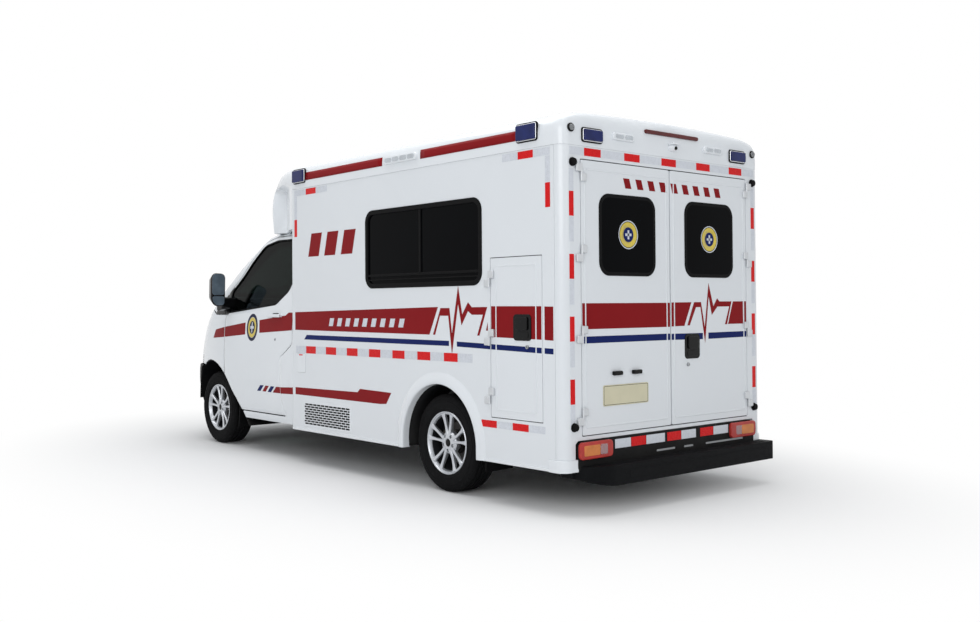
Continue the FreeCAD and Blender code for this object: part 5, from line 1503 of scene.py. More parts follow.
def rear_doors(sizes):
    """The two rear doors with glass, linings, hinges, latch, blank plate and its lamps."""
    near, far = BOX_REAR - 0.1, BOX_REAR + 0.1
    for side, tag in SIDES:
        body = "rear_door" + tag[:2]
        y0, y1 = sorted((side * LEAF[0], side * LEAF[1]))
        leaf = plates("leaf", [oblong(y0 + 0.0005, y1 - 0.001, LEAF[2] + 0.001, LEAF[3] - 0.001, 0.012)], "yz",
                      BOX_REAR, BOX_REAR + 0.045)
        u0, u1 = sorted((side * LEAF_GLASS[0], side * LEAF_GLASS[1]))
        glass_line = oblong(u0, u1, LEAF_GLASS[2], LEAF_GLASS[3], 0.090, 9)
        soften(pierce(leaf, "yz", near, far, inset(glass_line, 0.004)), 0.002)
        ridge = border(y0 + 0.030, y1 - 0.030, LEAF[2] + 0.045, LEAF[3] - 0.055, "yz", BOX_REAR, -1)
        dress(joined("rear_door" + tag + "_panel", [leaf, ridge]), body, "body_paint", F.panel,
              replaces=["rear_door" + tag])
        # bonded pane with a raised, rounded edge
        rim = plates("pane_rim" + tag, [inset(glass_line, -0.004)], "yz", BOX_REAR - 0.005, BOX_REAR + 0.012)
        soften(pierce(rim, "yz", near, far, inset(glass_line, 0.022)), 0.0035, 3)
        dress(rim, body, "black_trim", F.rubber)
        pane = plates("rear_pane" + tag, [inset(glass_line, 0.014)], "yz", BOX_REAR - 0.0035, BOX_REAR + 0.004, 0.001)
        dress(pane, body, "dark_glass", F.privacy, replaces=["rear_door_glass" + tag])
        badge("window_badge" + tag, (side * 0.44, 1.828), sizes.badge, BOX_REAR - 0.0035, body)
        lining = plates("door_lining" + tag, [oblong(y0 + 0.05, y1 - 0.05, LEAF[2] + 0.06, 1.48, 0.03)], "yz",
                        BOX_REAR + 0.044, BOX_REAR + 0.049, 0.002)
        dress(lining, body, "body_paint", F.lining)
        for i, z in enumerate((2.215, 1.690, 1.165, 0.635)):
            hinge("rear_hinge%s_%d" % (tag, i), (side * (LEAF[1] + 0.004), z, BOX_REAR), "yz", -1, "body", body, side,
                  0.030 if i else -0.030)
    paddle("rear_latch", -0.2345, 1.0565, "yz", BOX_REAR, -1, "rear_door_r", 0.166, 0.178)
    plate = plates("blank_plate", [oblong(0.249, 0.698, 0.688, 0.826, 0.012, 15)], "yz", BOX_REAR - 0.0042,
                   BOX_REAR - 0.0005, 0.0012)
    dress(plate, "rear_door_l", "body_paint", F.cream)
    edge = plates("plate_edge", [oblong(0.255, 0.692, 0.694, 0.820, 0.010, 15)], "yz", BOX_REAR - 0.0048,
                  BOX_REAR - 0.003)
    pierce(edge, "yz", near, far, oblong(0.2575, 0.6895, 0.6965, 0.8175, 0.008, 15))
    dress(edge, "rear_door_l", "black_trim", F.black)
    for i, y in enumerate((0.565, 0.372)):
        hood = block("plate_lamp_%d" % i, (BOX_REAR - 0.026, y - 0.043, 0.888), (BOX_REAR + 0.002, y + 0.043, 0.917),
                     0.008, 3)
        dress(hood, "rear_door_l", "black_trim", F.gloss)


def badge(name, centre, radius, x, body):
    """Round plain emblem: yellow ring, dark disc and a pale cross made of two bars."""
    y, z = centre

    def disc(label, r, level, material, hole=0.0):
        flat = rod(label, "x", (x - level, y, z), r, 0.0012, 0, 48)
        if hole:
            cut(flat, rod("tool", "x", (x, y, z), hole, 0.1, 0, 48))
        dress(flat, body, "black_trim", material)
    disc(name + "_ring", radius, 0.0006, F.badge, radius * 0.60)
    disc(name + "_disc", radius * 0.60, 0.0006, F.blue)
    disc(name + "_edge", radius * 1.14, 0.0004, F.tape_white, radius * 1.06)
    long, short = radius * 0.36, radius * 0.1
    bars = [block("bar", (x - 0.0018, y - a, z - b), (x - 0.0010, y + a, z + b))
            for a, b in ((long, short), (short, long))]
    dress(joined(name + "_cross", bars), body, "black_trim", F.tape_white)


# ---- roof cap ----
def cap_form(p):
    """Outside of the roof cap with the fairing over the cab."""
    x, y, z = p[:, 0] - AXLE, np.abs(p[:, 1]), p[:, 2]
    bulge = x + 0.02 * y ** 2 + 0.10 * y ** 4
    rear = (BOX_REAR - AXLE) - x
    flank = ((x - 2.20) * 0.165 + (y - SIDE_Y) * 0.605) / 0.627
    nose = np.minimum(0.2756 * (x - 2.15) + 0.9613 * (y - SIDE_Y), 0.09 * (x - 2.64) + 0.996 * (y - 0.925))
    low = np.clip((2.470 - z) / 0.05, 0, 1)
    scoop = np.clip(x - 2.12, 0, 0.5) * np.clip((2.70 - x) / 0.07, 0, 1)
    flank = np.where(x > 2.06, nose + 0.21 * low * low * (3 - 2 * low) * scoop, flank)
    sides = soft_max(y - (SIDE_Y + 0.004), flank, 0.08)
    crown = z - (ROOF_Z - 0.002 - 0.026 * y ** 2)
    shoulder = (0.42 * (y - 0.985) + (z - 2.612)) / 1.085
    top = soft_max(crown, shoulder, 0.06)
    brow = 0.39 * (bulge - 2.81) + 0.92 * (z - 2.52)
    face = 0.924 * (bulge - 2.905) + 0.382 * (z - 2.29)
    chin = 0.978 * (bulge - 2.905) - 0.21 * (z - 2.29)
    front = soft_max(soft_max(brow, face, 0.11), chin, 0.06)
    front = soft_max(front, sides, 0.13)
    return soft_max(soft_max(front, top, 0.09), rear, 0.08)


def spoked(mid_x, turn, pitch):
    """Rays from a line along the cap at seam height; pitch leans them towards an end."""
    start = np.column_stack((mid_x, np.zeros(len(turn)), np.full(len(turn), SEAM_Z)))
    way = np.column_stack((np.sin(pitch), np.cos(turn) * np.cos(pitch), np.sin(turn) * np.cos(pitch)))
    return leave(cap_form, start, way, 2.5, 34)


def roof_cap():
    """Cap over the whole box with the fairing over the cab, its sole and a pale ceiling inside."""
    lift = [math.atan2(h, 1.069) for h in np.linspace(0, 0.20, 11)]
    lift += [math.atan2(0.225, y)
             for y in (1.04, 1.02, 1.0, 0.98, 0.955, 0.92, 0.87, 0.80, 0.70, 0.58, 0.45, 0.30, 0.15)]
    arc = lift + [math.pi / 2] + [math.pi - a for a in lift[::-1]]
    under = [-math.radians(a) for a in np.linspace(90, 2.5, 24)]
    whole = under[1:] + arc + [math.pi - a for a in under[::-1]][:-1]

    reach = [0.03, 0.07, 0.11, 0.14, 0.16, 0.175, 0.19, 0.20, 0.21, 0.22, 0.23, 0.24, 0.26, 0.30, 0.38, 0.48, 0.60,
             0.72,
             0.84, 0.92, 0.97, 0.99, 1.01, 1.03, 1.045, 1.06, 1.08, 1.12, 1.20, 1.40, 1.9, 3.0]
    rear_pitch = [math.pi / 2 - 0.002] + [math.atan2(0.16, t) for t in reach]
    rear_x, front_x = BOX_REAR + 0.16, AXLE + 2.40
    runs = [(rear_x, -p) for p in rear_pitch]
    runs += [(x, 0.0) for x in np.linspace(rear_x, BOX_FRONT, 34)]
    rows = [spoked(np.full(len(arc), x), np.array(arc), np.full(len(arc), p)) for x, p in runs]
    body_part = lofted("roof_cap", rows, angle=30)

    runs = [(x, 0.0) for x in np.linspace(BOX_FRONT, front_x, 8)]
    runs += [(front_x, math.radians(a)) for a in np.linspace(2.5, 89.9, 38)]
    rows = [spoked(np.full(len(whole), x), np.array(whole), np.full(len(whole), p)) for x, p in runs]
    nose_part = lofted("nose", [[*row, row[0]] for row in rows], angle=30)
    pick(nose_part)
    bpy.ops.object.mode_set(mode="EDIT")
    bpy.ops.mesh.select_all(action="SELECT")
    bpy.ops.mesh.bisect(plane_co=(0, 0, 2.046), plane_no=(0, 0, 1), use_fill=True, clear_inner=True)
    bpy.ops.object.mode_set(mode="OBJECT")
    cap = joined("roof_cap_skin", [body_part, nose_part])
    outward(cap)
    cap.data.materials.append(None)
    cap.data.materials.append(None)
    modify(cap, "SOLIDIFY", thickness=0.03, offset=-1, material_offset=1)
    smooth(cap, 30)
    dress(cap, "body", "body_paint", F.paint, F.lining, replaces=["roof"])

    x, y = BOX_REAR + 0.002, SIDE_Y - 0.001
    seam = rounded([(x, -y, 0.066), (BOX_FRONT, -y, 0.03), (BOX_FRONT, y, 0.03), (x, y, 0.066)], 10)
    seam = plates("seam_gasket", [seam], "xy", SEAM_Z - 0.0035, SEAM_Z + 0.0035)
    cut(seam, block("tool", (BOX_REAR + 0.03, -1.03, 2.3), (BOX_FRONT - 0.03, 1.03, 2.5)))
    dress(seam, "body", "black_trim", F.edge)


def cap_y(x, z):
    """How far out the cap's side lies at a place along it."""
    return leave(cap_form, *from_side(np.array([[x, z]])), 2.0, 30)[0][1]


def beacon(name, centre, axis, way, wide, tall):
    """Blue warning lamp: black base, bright reflector rim and a domed lens."""
    u, v, level = centre
    plane = {"y": "xz", "x": "yz"}[axis]
    for label, grow, low, high, edge, slot, material in (
            ("_base", 0.0, -0.006, 0.010, 0.004, "black_trim", F.black),
            ("_rim", -0.008, 0.008, 0.0135, 0.003, "lamp_lens", F.chrome),
            ("_lens", -0.013, 0.010, 0.029, 0.009, "blue_lens", F.blue_lens)):
        ring = oblong(u - wide / 2 - grow, u + wide / 2 + grow, v - tall / 2 - grow, v + tall / 2 + grow,
                      max(0.008, 0.02 + grow), 15)
        obj = plates(name + label, [ring], plane, *sorted((level + way * low, level + way * high)), edge, 3)
        dress(obj, "body", slot, material)
    return obj


def flood(name, centre, axis, way, wide, tall, lenses):
    """White work lamp with clear lenses."""
    u, v, level = centre
    plane = {"y": "xz", "x": "yz"}[axis]
    body = plates(name + "_body", [oblong(u - wide / 2, u + wide / 2, v - tall / 2, v + tall / 2, tall * 0.42, 12)],
                  plane, *sorted((level - way * 0.006, level + way * 0.018)), 0.007, 3)
    dress(body, "body", "body_paint", F.paint)
    step = (wide - 0.03) / lenses
    outlines = []
    for i in range(lenses):
        c = u - wide / 2 + 0.015 + step * (i + 0.5)
        outlines.append(oblong(c - step * 0.44, c + step * 0.44, v - tall * 0.30, v + tall * 0.30, tall * 0.26, 12))
    glass = plates(name + "_lens", outlines, plane, *sorted((level + way * 0.012, level + way * 0.0215)), 0.003, 2)
    dress(glass, "body", "lamp_lens", F.clear)


def roof_lamps(sizes):
    """Warning lamps, work lamps, brake lamp, camera and marker lamps on the cap."""
    for side, tag in SIDES:
        for x, end in ((AXLE + 1.965, "front"), (AXLE - 0.9695, "rear")):
            lens = beacon("beacon_" + end + tag, (x, 2.496, side * (cap_y(x, 2.49) - 0.001)), "y", side,
                          sizes.beacon_length, sizes.beacon_height)
            if side > 0 and end == "front":
                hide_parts("beacons")
        beacon("beacon_back" + tag, (side * 0.785, 2.4635, BOX_REAR + 0.001), "x", -1, 0.196, 0.098)
        flood("flood" + tag, (AXLE + 0.452, 2.484, side * cap_y(AXLE + 0.45, 2.484)), "y", side, 0.42, 0.058, 4)
        flood("flood_back" + tag, (side * 0.485, 2.482, BOX_REAR), "x", -1, 0.215, 0.050, 2)
        bead = rod("marker" + tag, "x", (BOX_REAR - 0.006, side * 0.978, 2.499), 0.021, 0.026, 0.006, 32)
        dress(bead, "body", "lamp_lens", F.clear)
        cup = rod("marker_cup" + tag, "x", (BOX_REAR + 0.004, side * 0.978, 2.499), 0.029, 0.026, 0.004, 32)
        dress(cup, "body", "black_trim", F.gloss)
        # lamps on the nose of the fairing
        y = side * 0.33
        bar = block("nose_lamp" + tag, (AXLE + 2.86, y - 0.15, 2.33), (AXLE + 2.926, y + 0.15, 2.42), 0.016, 3)
        dress(bar, "body", "blue_lens", F.blue_lens)
        back = block("nose_base" + tag, (AXLE + 2.84, y - 0.16, 2.322), (AXLE + 2.904, y + 0.16, 2.428), 0.012, 3)
        dress(back, "body", "black_trim", F.black)
    brake = plates("brake_lamp", [oblong(-0.315, 0.262, 2.5345, 2.5625, 0.013, 12)], "yz", BOX_REAR - 0.013,
                   BOX_REAR + 0.012, 0.005, 3)
    dress(brake, "body", "red_lens", F.dark_red)
    rest()
    bpy.ops.mesh.primitive_uv_sphere_add(segments=32, ring_count=16, radius=0.032,
                                         location=(BOX_REAR - 0.006, -0.03, 2.462), scale=(1.0, 1.25, 0.9))
    ball = smooth(named("camera_shell"))
    hood = block("camera_hood", (BOX_REAR - 0.052, -0.075, 2.478), (BOX_REAR + 0.004, 0.015, 2.490), 0.006, 3)
    dress(joined("rear_camera", [ball, hood]), "body", "body_paint", F.paint)
    eye = rod("camera_eye", "x", (BOX_REAR - 0.036, -0.03, 2.455), 0.013, 0.012, 0.002, 28)
    dress(eye, "body", "black_trim", F.gloss)


def rear_step(sizes):
    """Step bumper with ribbed tread, back plate, tail lamps and slots."""
    x = BOX_REAR
    bed = [(x + 0.02, -1.040, 0), (x - 0.130, -1.048, 0.030), (x - 0.130, 0.965, 0.26), (x + 0.02, 0.965, 0)]
    step = plates("step_bed", [rounded(bed, 6)], "xy", 0.186, 0.318)
    for vert in step.data.vertices:
        rise = min(1, max(0, (vert.co.y - 0.66) / 0.30))
        if vert.co.z < 0.25:
            vert.co.z += 0.055 * rise * rise
    soften(step, 0.012, 4)
    ribs = [block("rib", (x - 0.112 + 0.012 * k, -0.95, 0.316), (x - 0.106 + 0.012 * k, 0.60 + 0.03 * k, 0.3206), 0.001)
            for k in range(sizes.step_ribs)]
    lip = rounded([(x - 0.1315, -1.0, 0.02), (x - 0.1315, 0.60, 0.02), (x - 0.128, 0.60, 0), (x - 0.128, -1.0, 0)], 8)
    lip = plates("step_lip", [lip], "xy", 0.226, 0.276, 0.001)
    dress(joined("rear_step_bed", [step] + ribs + [lip]), "body", "step_rubber", F.tread, replaces=["rear_step"])
    back = rounded([(-0.945, 0.296, 0.02), (0.945, 0.296, 0.02), (0.945, 0.440, 0.02), (0.905, 0.478, 0.03),
                    (-0.905, 0.478, 0.03), (-0.945, 0.440, 0.02)], 12)
    back = plates("back_plate", [back], "yz", x - 0.0135, x + 0.030)
    slots = ((0.178, -0.026), (-0.119, -0.226), (-0.364, -0.819))
    pierce(back, "yz", x - 0.1, x + 0.1, *[oblong(a, b, 0.344, 0.358, 0.006) for a, b in slots])
    dress(soften(back, 0.004, 3), "body", "black_plastic", F.black)
    bright = plates("step_slots", [oblong(b, a, 0.343, 0.359, 0.006) for a, b in slots], "yz", x - 0.009, x - 0.004)
    dress(bright, "body", "alloy", F.satin)
    arms = [block("arm", (x + 0.0, s * 0.395 - 0.03, 0.32), (x + 0.20, s * 0.395 + 0.03, 0.47), 0.006) for s in (1, -1)]
    dress(joined("step_arms", arms), "body", "chassis_black", F.frame)
    for s, tag in SIDES:
        y0, y1 = sorted((s * 0.640, s * 0.945))
        shell = plates("tail_shell" + tag, [oblong(y0, y1, 0.362, 0.474, 0.028, 12)], "yz", x - 0.0375, x - 0.010,
                       0.007, 4)
        dress(shell, "body", "red_lens", F.red_lens, replaces=["tail_lamps"] if s > 0 else ())
        for a, b, material, label in ((0.695, 0.765, F.clear, "reverse"), (0.765, 0.915, F.amber, "turn")):
            u0, u1 = sorted((s * a, s * b))
            part = plates("tail_" + label + tag, [oblong(u0 + 0.001, u1 - 0.001, 0.384, 0.452, 0.010, 15)], "yz",
                          x - 0.0405, x - 0.030, 0.003, 3)
            dress(part, "body", "lamp_lens", material)


# ---- stripes and reflective tape ----
def clip(loop, low, high):
    """The part of an outline between two values of its first coordinate."""
    for limit, sign in ((low, 1), (high, -1)):
        kept = []
        for a, b in zip(loop, loop[1:] + loop[:1]):
            da, db = sign * (a[0] - limit), sign * (b[0] - limit)
            if da >= 0:
                kept.append(a)
            if da * db < 0:
                t = da / (da - db)
                kept.append((a[0] + (b[0] - a[0]) * t, a[1] + (b[1] - a[1]) * t))
        loop = kept
        if len(loop) < 3:
            return []
    return loop


def bars(x0, x1, z0, z1, count, slant, fill=0.55):
    """A row of plain slanted bars."""
    step = (x1 - x0 - slant) / count
    out = []
    for i in range(count):
        a = x0 + step * i
        b = a + step * fill
        out.append([(a, z0), (b, z0), (b + slant, z1), (a + slant, z1)])
    return out


def run_of_tape(start, step, length, count, z0, z1):
    """Alternate red and white pieces; returns the two lists of outlines."""
    gap = 0.003
    red, white = [], []
    for k in range(count):
        x = start - step * k
        red.append([(x, z0), (x, z1), (x - length, z1), (x - length, z0)])
        white.append([(x - length - gap, z0), (x - length - gap, z1), (x - step + gap, z1), (x - step + gap, z0)])
    return red, white


TAPE_Z = 0.957             # foot of the tape along the waist
TOP_TAPE = (2.327, 2.378)  # heights of the tape under the seam
# pulse line on the left side and on the back
TRACE = [(0.068, 1.147), (-0.024, 1.342), (-0.129, 1.342), (-0.156, 1.160), (-0.229, 1.502), (-0.274, 1.296),
         (-0.339, 1.382), (-0.381, 1.347), (-0.548, 1.348), (-0.463, 1.149), (-0.438, 1.149), (-0.500, 1.294),
         (-0.381, 1.294), (-0.339, 1.319), (-0.265, 1.218), (-0.228, 1.369), (-0.155, 1.009), (-0.114, 1.286),
         (-0.017, 1.286), (0.041, 1.147)]
BACK_TRACE = [(-0.183, 1.205), (-0.261, 1.371), (-0.341, 1.372), (-0.382, 1.190), (-0.430, 1.510), (-0.486, 1.341),
              (-0.530, 1.399), (-0.559, 1.376), (-0.705, 1.376), (-0.648, 1.206), (-0.622, 1.206), (-0.676, 1.338),
              (-0.534, 1.338), (-0.466, 1.277), (-0.431, 1.412), (-0.385, 1.073), (-0.334, 1.335), (-0.283, 1.335),
              (-0.210, 1.205)]


def side_livery(sizes):
    """Stripes, bars and tape on both sides, cut where they cross a door."""
    red = [[(2.052, 1.157), (0.110, 1.147), (0.006, 1.350), (2.052, 1.312)], TRACE,
           [(-0.533, 1.185), (-0.553, 1.185), (-0.553, 1.244)],
           [(-0.5885, 1.142), (-0.5885, 1.353), (-1.0895, 1.351), (-1.0895, 1.133)],
           [(-1.119, 1.132), (-1.119, 1.349), (-1.201, 1.348), (-1.201, 1.129)],
           [(2.052, 0.594), (2.052, 0.656), (1.070, 0.668), (1.035, 0.697), (0.600, 0.690), (0.668, 0.600),
            (0.75, 0.594)]]
    code = bars(1.14, 1.86, 1.788, 1.986, 3, -0.055, 0.66)
    blue = [[(1.900, 1.076), (1.860, 1.116), (-0.121, 1.106), (-0.121, 1.069)],
            [(-0.211, 1.103), (-1.200, 1.078), (-1.200, 1.041), (-0.211, 1.067)]]
    marks = bars(0.44, 1.54, 1.196, 1.262, 9, -0.022, 0.5)
    z0, z1 = TAPE_Z, TAPE_Z + sizes.tape
    tape_red, tape_white = run_of_tape(1.868, 0.3215, 0.158, 7, z0, z1)
    tape_white = tape_white[:-1] + [[(x, z0), (x, z1), (end, z1), (end, z0)]
                                    for x, end in ((-0.221, -0.385), (2.038, 1.871))]
    z0, z1 = 0.523, 0.571
    for a, b in ((-0.479, -0.640), (-0.803, -0.960)):
        tape_red.append([(a, z0), (a, z1), (b, z1), (b, z0)])
        tape_white.append([(b - 0.003, z0), (b - 0.003, z1), (b - 0.160, z1), (b - 0.160, z0)])
    z0, z1 = TOP_TAPE
    tape_red += [oblong(1.702, 1.864, z0, z1), oblong(2.014, 2.058, 1.970, 2.120),
                 oblong(-1.020, -0.872, z0, z1), oblong(-1.180, -1.134, 1.990, 2.150)]
    tape_white += [oblong(1.868, 2.058, z0, z1), oblong(1.520, 1.699, z0, z1), oblong(2.014, 2.058, 2.124, 2.324),
                   oblong(-0.869, -0.715, z0, z1), oblong(-1.180, -1.024, z0, z1), oblong(-1.180, -1.134, 2.154, 2.324)]
    sets = (("red", F.red, red, 0.0006), ("blue", F.blue, blue, 0.0005), ("mark", F.tape_white, marks, 0.0010),
            ("tape_red", F.tape_red, tape_red, 0.0010), ("tape_white", F.tape_white, tape_white, 0.0008))
    plain = ((-1.213, 2.0885, "body"),)
    left = ((-1.213, -1.118, "body"), (-1.090, -0.588, "locker"), (-0.578, 2.0885, "body"))
    right = ((-1.213, 1.125, "body"), (1.135, 1.895, "entry_door"), (1.905, 2.0885, "body"))
    for side, tag, hatch, zones in ((1, "_left", LOCKER, left), (-1, "_right", ENTRY, right)):
        for label, material, loops, lift in sets + ((("code", F.red, code, 0.0006),) if side > 0 else ()):
            groups = {}
            for loop in loops:
                heights = [z for _, z in loop]
                clear = max(heights) < hatch[2] or min(heights) > hatch[3]
                for low, high, body in plain if clear else zones:
                    piece = clip(loop, low, high)
                    if len(piece) > 2:
                        groups.setdefault(body, []).append([(AXLE + x, z) for x, z in piece])
            for body, outlines in groups.items():
                level = side * SIDE_Y
                film = plates("%s_film_%s%s" % (label, body, tag), outlines, "xz",
                              *sorted((level, level + side * lift)))
                dress(film, body, "body_paint", material)

    # the two long stripes on the cap follow its side
    for side, tag in SIDES:
        strips = []
        for x0, x1 in ((-0.868, 0.205), (0.700, 1.862)):
            rows = [[(x, side * (cap_y(x, z) + 0.0012), z) for z in (2.452, 2.475, 2.498, 2.520)]
                    for x in AXLE + np.linspace(x0, x1, 18)]
            strips.append(modify(lofted("strip", rows), "SOLIDIFY", thickness=0.0008, offset=0))
        dress(joined("cap_stripe" + tag, strips), "body", "body_paint", F.red)


def side_vent():
    """Small filler flap with a painted shade ring round it, and the louvred vent low on the left wall, its slots
    painted on in black as shade.
    """
    flap = plates("filler_flap", [oblong(AXLE + 1.880, AXLE + 2.023, 0.790, 0.953, 0.018, 12)], "xz", SIDE_Y - 0.004,
                  SIDE_Y + 0.004, 0.0025, 3)
    dress(flap, "body", "body_paint", F.paint)
    # painted shade: a slightly darker grey ring just outside the flap stands for the shadow in the gap round it
    gap_shade = plates("flap_gap", [oblong(AXLE + 1.8765, AXLE + 2.0265, 0.7865, 0.9565, 0.021, 12)], "xz",
                    SIDE_Y - 0.002, SIDE_Y + 0.0008)
    dress(gap_shade, "body", "black_trim", F.edge)
    mark = plates("flap_mark", [oblong(AXLE + 1.922, AXLE + 1.982, 0.936, 0.946, 0.004, 20)], "xz", SIDE_Y + 0.004,
                  SIDE_Y + 0.005)
    dress(mark, "body", "red_lens", F.tape_red)
    vent = plates("vent_frame", [oblong(AXLE + 1.165, AXLE + 1.908, 0.332, 0.540, 0.012, 15)], "xz", SIDE_Y - 0.004,
                  SIDE_Y + 0.004, 0.0025, 2)
    dress(vent, "body", "body_paint", F.paint)
    # painted shade: the vent is not open; black oblongs laid on its frame stand for the shade inside its slots
    slots = []
    for row in range(9):
        z = 0.349 + row * 0.0205
        x = 1.184
        while x < 1.885:
            end = min(x + (0.024 if row % 2 and x < 1.19 else 0.056), 1.890)
            slots.append(oblong(AXLE + x, AXLE + end, z, z + 0.0140, 0.004, 30))
            x = end + 0.008
    dark = plates("vent_slot_shade", slots, "xz", SIDE_Y + 0.0035, SIDE_Y + 0.0046)
    dress(dark, "body", "black_trim", F.black)


def rear_livery():
    """Stripes and bars on the rear doors, and tape round the frame and on the back plate."""
    lift = 0.0006
    red_left = [oblong(0.0085, 0.886, 1.199, 1.368)]
    red_right = [[(-0.0085, 1.201), (-0.0085, 1.370), (-0.231, 1.371), (-0.150, 1.203)], BACK_TRACE,
                 [(-0.722, 1.376), (-0.847, 1.376), (-0.847, 1.208), (-0.660, 1.208)],
                 [(-0.853, 1.376), (-0.886, 1.376), (-0.886, 1.208), (-0.853, 1.208)]]
    blue_left = [oblong(0.0085, 0.886, 1.107, 1.152)]
    blue_right = [[(-0.0085, 1.107), (-0.0085, 1.150), (-0.359, 1.148), (-0.359, 1.103)],
                  [(-0.424, 1.103), (-0.424, 1.149), (-0.886, 1.151), (-0.886, 1.108)]]
    marks = bars(-0.585, 0.545, 2.140, 2.208, 9, 0.022, 0.5)
    for body, limits, groups in (("rear_door_l", (0.007, 0.889), (red_left, blue_left)),
                                 ("rear_door_r", (-0.889, -0.007), (red_right, blue_right))):
        for loops, material, label in zip((*groups, marks), (F.red, F.blue, F.red), ("red", "blue", "mark")):
            pieces = [p for p in (clip(loop, *limits) for loop in loops) if len(p) > 2]
            film = plates("%s_film_%s" % (label, body), pieces, "yz", BOX_REAR - lift, BOX_REAR)
            dress(film, body, "body_paint", material)
    reds = [oblong(0.700 - 0.386 * k, 0.857 - 0.386 * k, 2.326, 2.378) for k in range(5)]
    whites = [oblong(y0 + 0.002, y1 - 0.002, 2.326, 2.378) for y0, y1 in (
        (0.860, 0.995), (0.474, 0.697), (0.088, 0.311), (-0.298, -0.075), (-0.684, -0.461), (-0.995, -0.847))]
    for s in (1, -1):
        u0, u1 = sorted((s * 0.957, s * 0.998944))
        for z in (2.090, 1.685, 1.283, 0.880):
            reds.append(oblong(u0, u1, z - 0.160, z))
            whites.append(oblong(u0, u1, z - 0.325, z - 0.164))
        whites.append(oblong(u0, u1, 2.094, 2.236))
    dress(plates("back_tape_red", reds, "yz", BOX_REAR - 0.001, BOX_REAR), "body", "red_lens", F.tape_red)
    dress(plates("back_tape_white", whites, "yz", BOX_REAR - 0.0008, BOX_REAR), "body", "body_paint", F.tape_white)
    x = BOX_REAR - 0.0135
    reds = [oblong(a - 0.150, a, 0.405, 0.466) for a in (0.440, 0.066, -0.300)]
    whites = [oblong(a, b, 0.405, 0.466)
              for a, b in ((0.444, 0.600), (0.092, 0.286), (-0.250, -0.088), (-0.628, -0.454))]
    dress(plates("step_tape_red", reds, "yz", x - 0.001, x), "body", "red_lens", F.tape_red)
    dress(plates("step_tape_white", whites, "yz", x - 0.0008, x), "body", "body_paint", F.tape_white)


def cab_film(name, side, body, material, loop, hole=None, depth=-0.0016, cell=0.05, **extra):
    """Thin film laid on the cab's side."""
    obj = skin(name, cab_form, from_side, loop, hole, 0, cell, thick=0.0008, depth=depth, **extra)
    dress(handed(obj, side), body, "body_paint", material, material)


def slash(x):
    """Leaning bar low on the cab, from the front of its foot."""
    return [(x, 0.577), (x - 0.066, 0.633), (x - 0.130, 0.633), (x - 0.064, 0.577)]


BADGE_SQUEEZE = 0.82       # width of the cab badge by its height


def cab_livery():
    """Band, slashes, lower stripe and a round badge laid on the curved cab."""
    for side, tag in SIDES:
        door = "cab_door" + tag[:2]
        for name, body, material, outline in (
                ("band_fender", "body", F.red, [(3.760, 1.054), (3.700, 1.138), (3.491, 1.166), (3.491, 1.069)]),
                ("band_front", door, F.red, [(3.479, 1.070), (3.479, 1.168), (3.06, 1.213), (3.055, 1.100)]),
                ("band_rear", door, F.red, [(2.775, 1.119), (2.790, 1.237), (2.31, 1.281), (2.262, 1.308),
                                            (2.180, 1.308), (2.180, 1.150)]),
                ("band_post", "body", F.red, [(2.168, 1.151), (2.168, 1.309), (2.130, 1.310), (2.130, 1.152)]),
                ("slash_0", door, F.blue, slash(2.835)), ("slash_1", door, F.red, slash(2.735)),
                ("slash_2", door, F.blue, slash(2.635)),
                ("low_stripe", door, F.red, [(2.540, 0.577), (2.470, 0.633), (2.397, 0.634), (2.397, 0.577)]),
                ("low_post", "body", F.red, [(2.381, 0.577), (2.383, 0.634), (2.130, 0.646), (2.130, 0.584)])):
            cab_film(name + tag, side, body, material, dense([at(x, z) for x, z in outline], 0.04), depth=-0.0014,
                     cell=0.038, rows=BAND_ROWS, press=crease if body == door else None)
        x, z = AXLE + 2.922, 1.168

        def circle(radius):
            return [(x + radius * BADGE_SQUEEZE * math.cos(a), z + radius * math.sin(a))
                    for a in np.linspace(0, 2 * math.pi, 41)[:-1]]
        for label, r0, r1, material in (("ring", 0.062, 0.094, F.badge), ("disc", 0, 0.060, F.navy),
                                        ("edge", 0.098, 0.128, F.navy)):
            cab_film("badge_" + label + tag, side, door, material, circle(r1), circle(r0) if r0 else None)
        for i, (a, b) in enumerate(((0.040 * BADGE_SQUEEZE, 0.012), (0.010 * BADGE_SQUEEZE, 0.048))):
            cab_film("badge_cross_%d%s" % (i, tag), side, door, F.tape_white,
                     [(x - a, z - b), (x + a, z - b), (x + a, z + b), (x - a, z + b)], depth=-0.0026 - 0.0002 * i)


# ---- underneath ----
def underneath():
    """Finishes for the running gear that keeps its CAD shape, and the parts added round it."""
    finishes = {"chassis_rails": F.frame, "crossmembers": F.frame, "rear_axle": F.iron, "leaf_springs": F.spring,
                "front_suspension": F.iron, "knuckle_left": F.iron, "knuckle_right": F.iron, "engine": F.engine,
                "exhaust": F.exhaust, "fuel_tank": F.black, "box_floor": F.under}
    for node, material in finishes.items():
        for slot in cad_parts[node].material_slots:
            slot.material = material
    for s, tag in SIDES:
        rows = []
        for a in np.radians(np.linspace(-8, 188, 25)):
            x, z = AXLE + 0.428 * math.cos(a), TYRE_R + 0.428 * math.sin(a)
            rows.append([(x, s * 0.755, z), (x, s * 0.90, z), (x, s * (SIDE_Y - 0.04), z)])
        liner = lofted("rear_liner" + tag, rows, angle=60)
        modify(liner, "SOLIDIFY", thickness=0.003, offset=1)
        dress(liner, "body", "black_plastic", F.black)
        flap = block("rear_flap" + tag, (AXLE - 0.475, s * 0.77, 0.20), (AXLE - 0.462, s * 1.02, 0.58), 0.004)
        dress(flap, "body", "black_plastic", F.rubber)


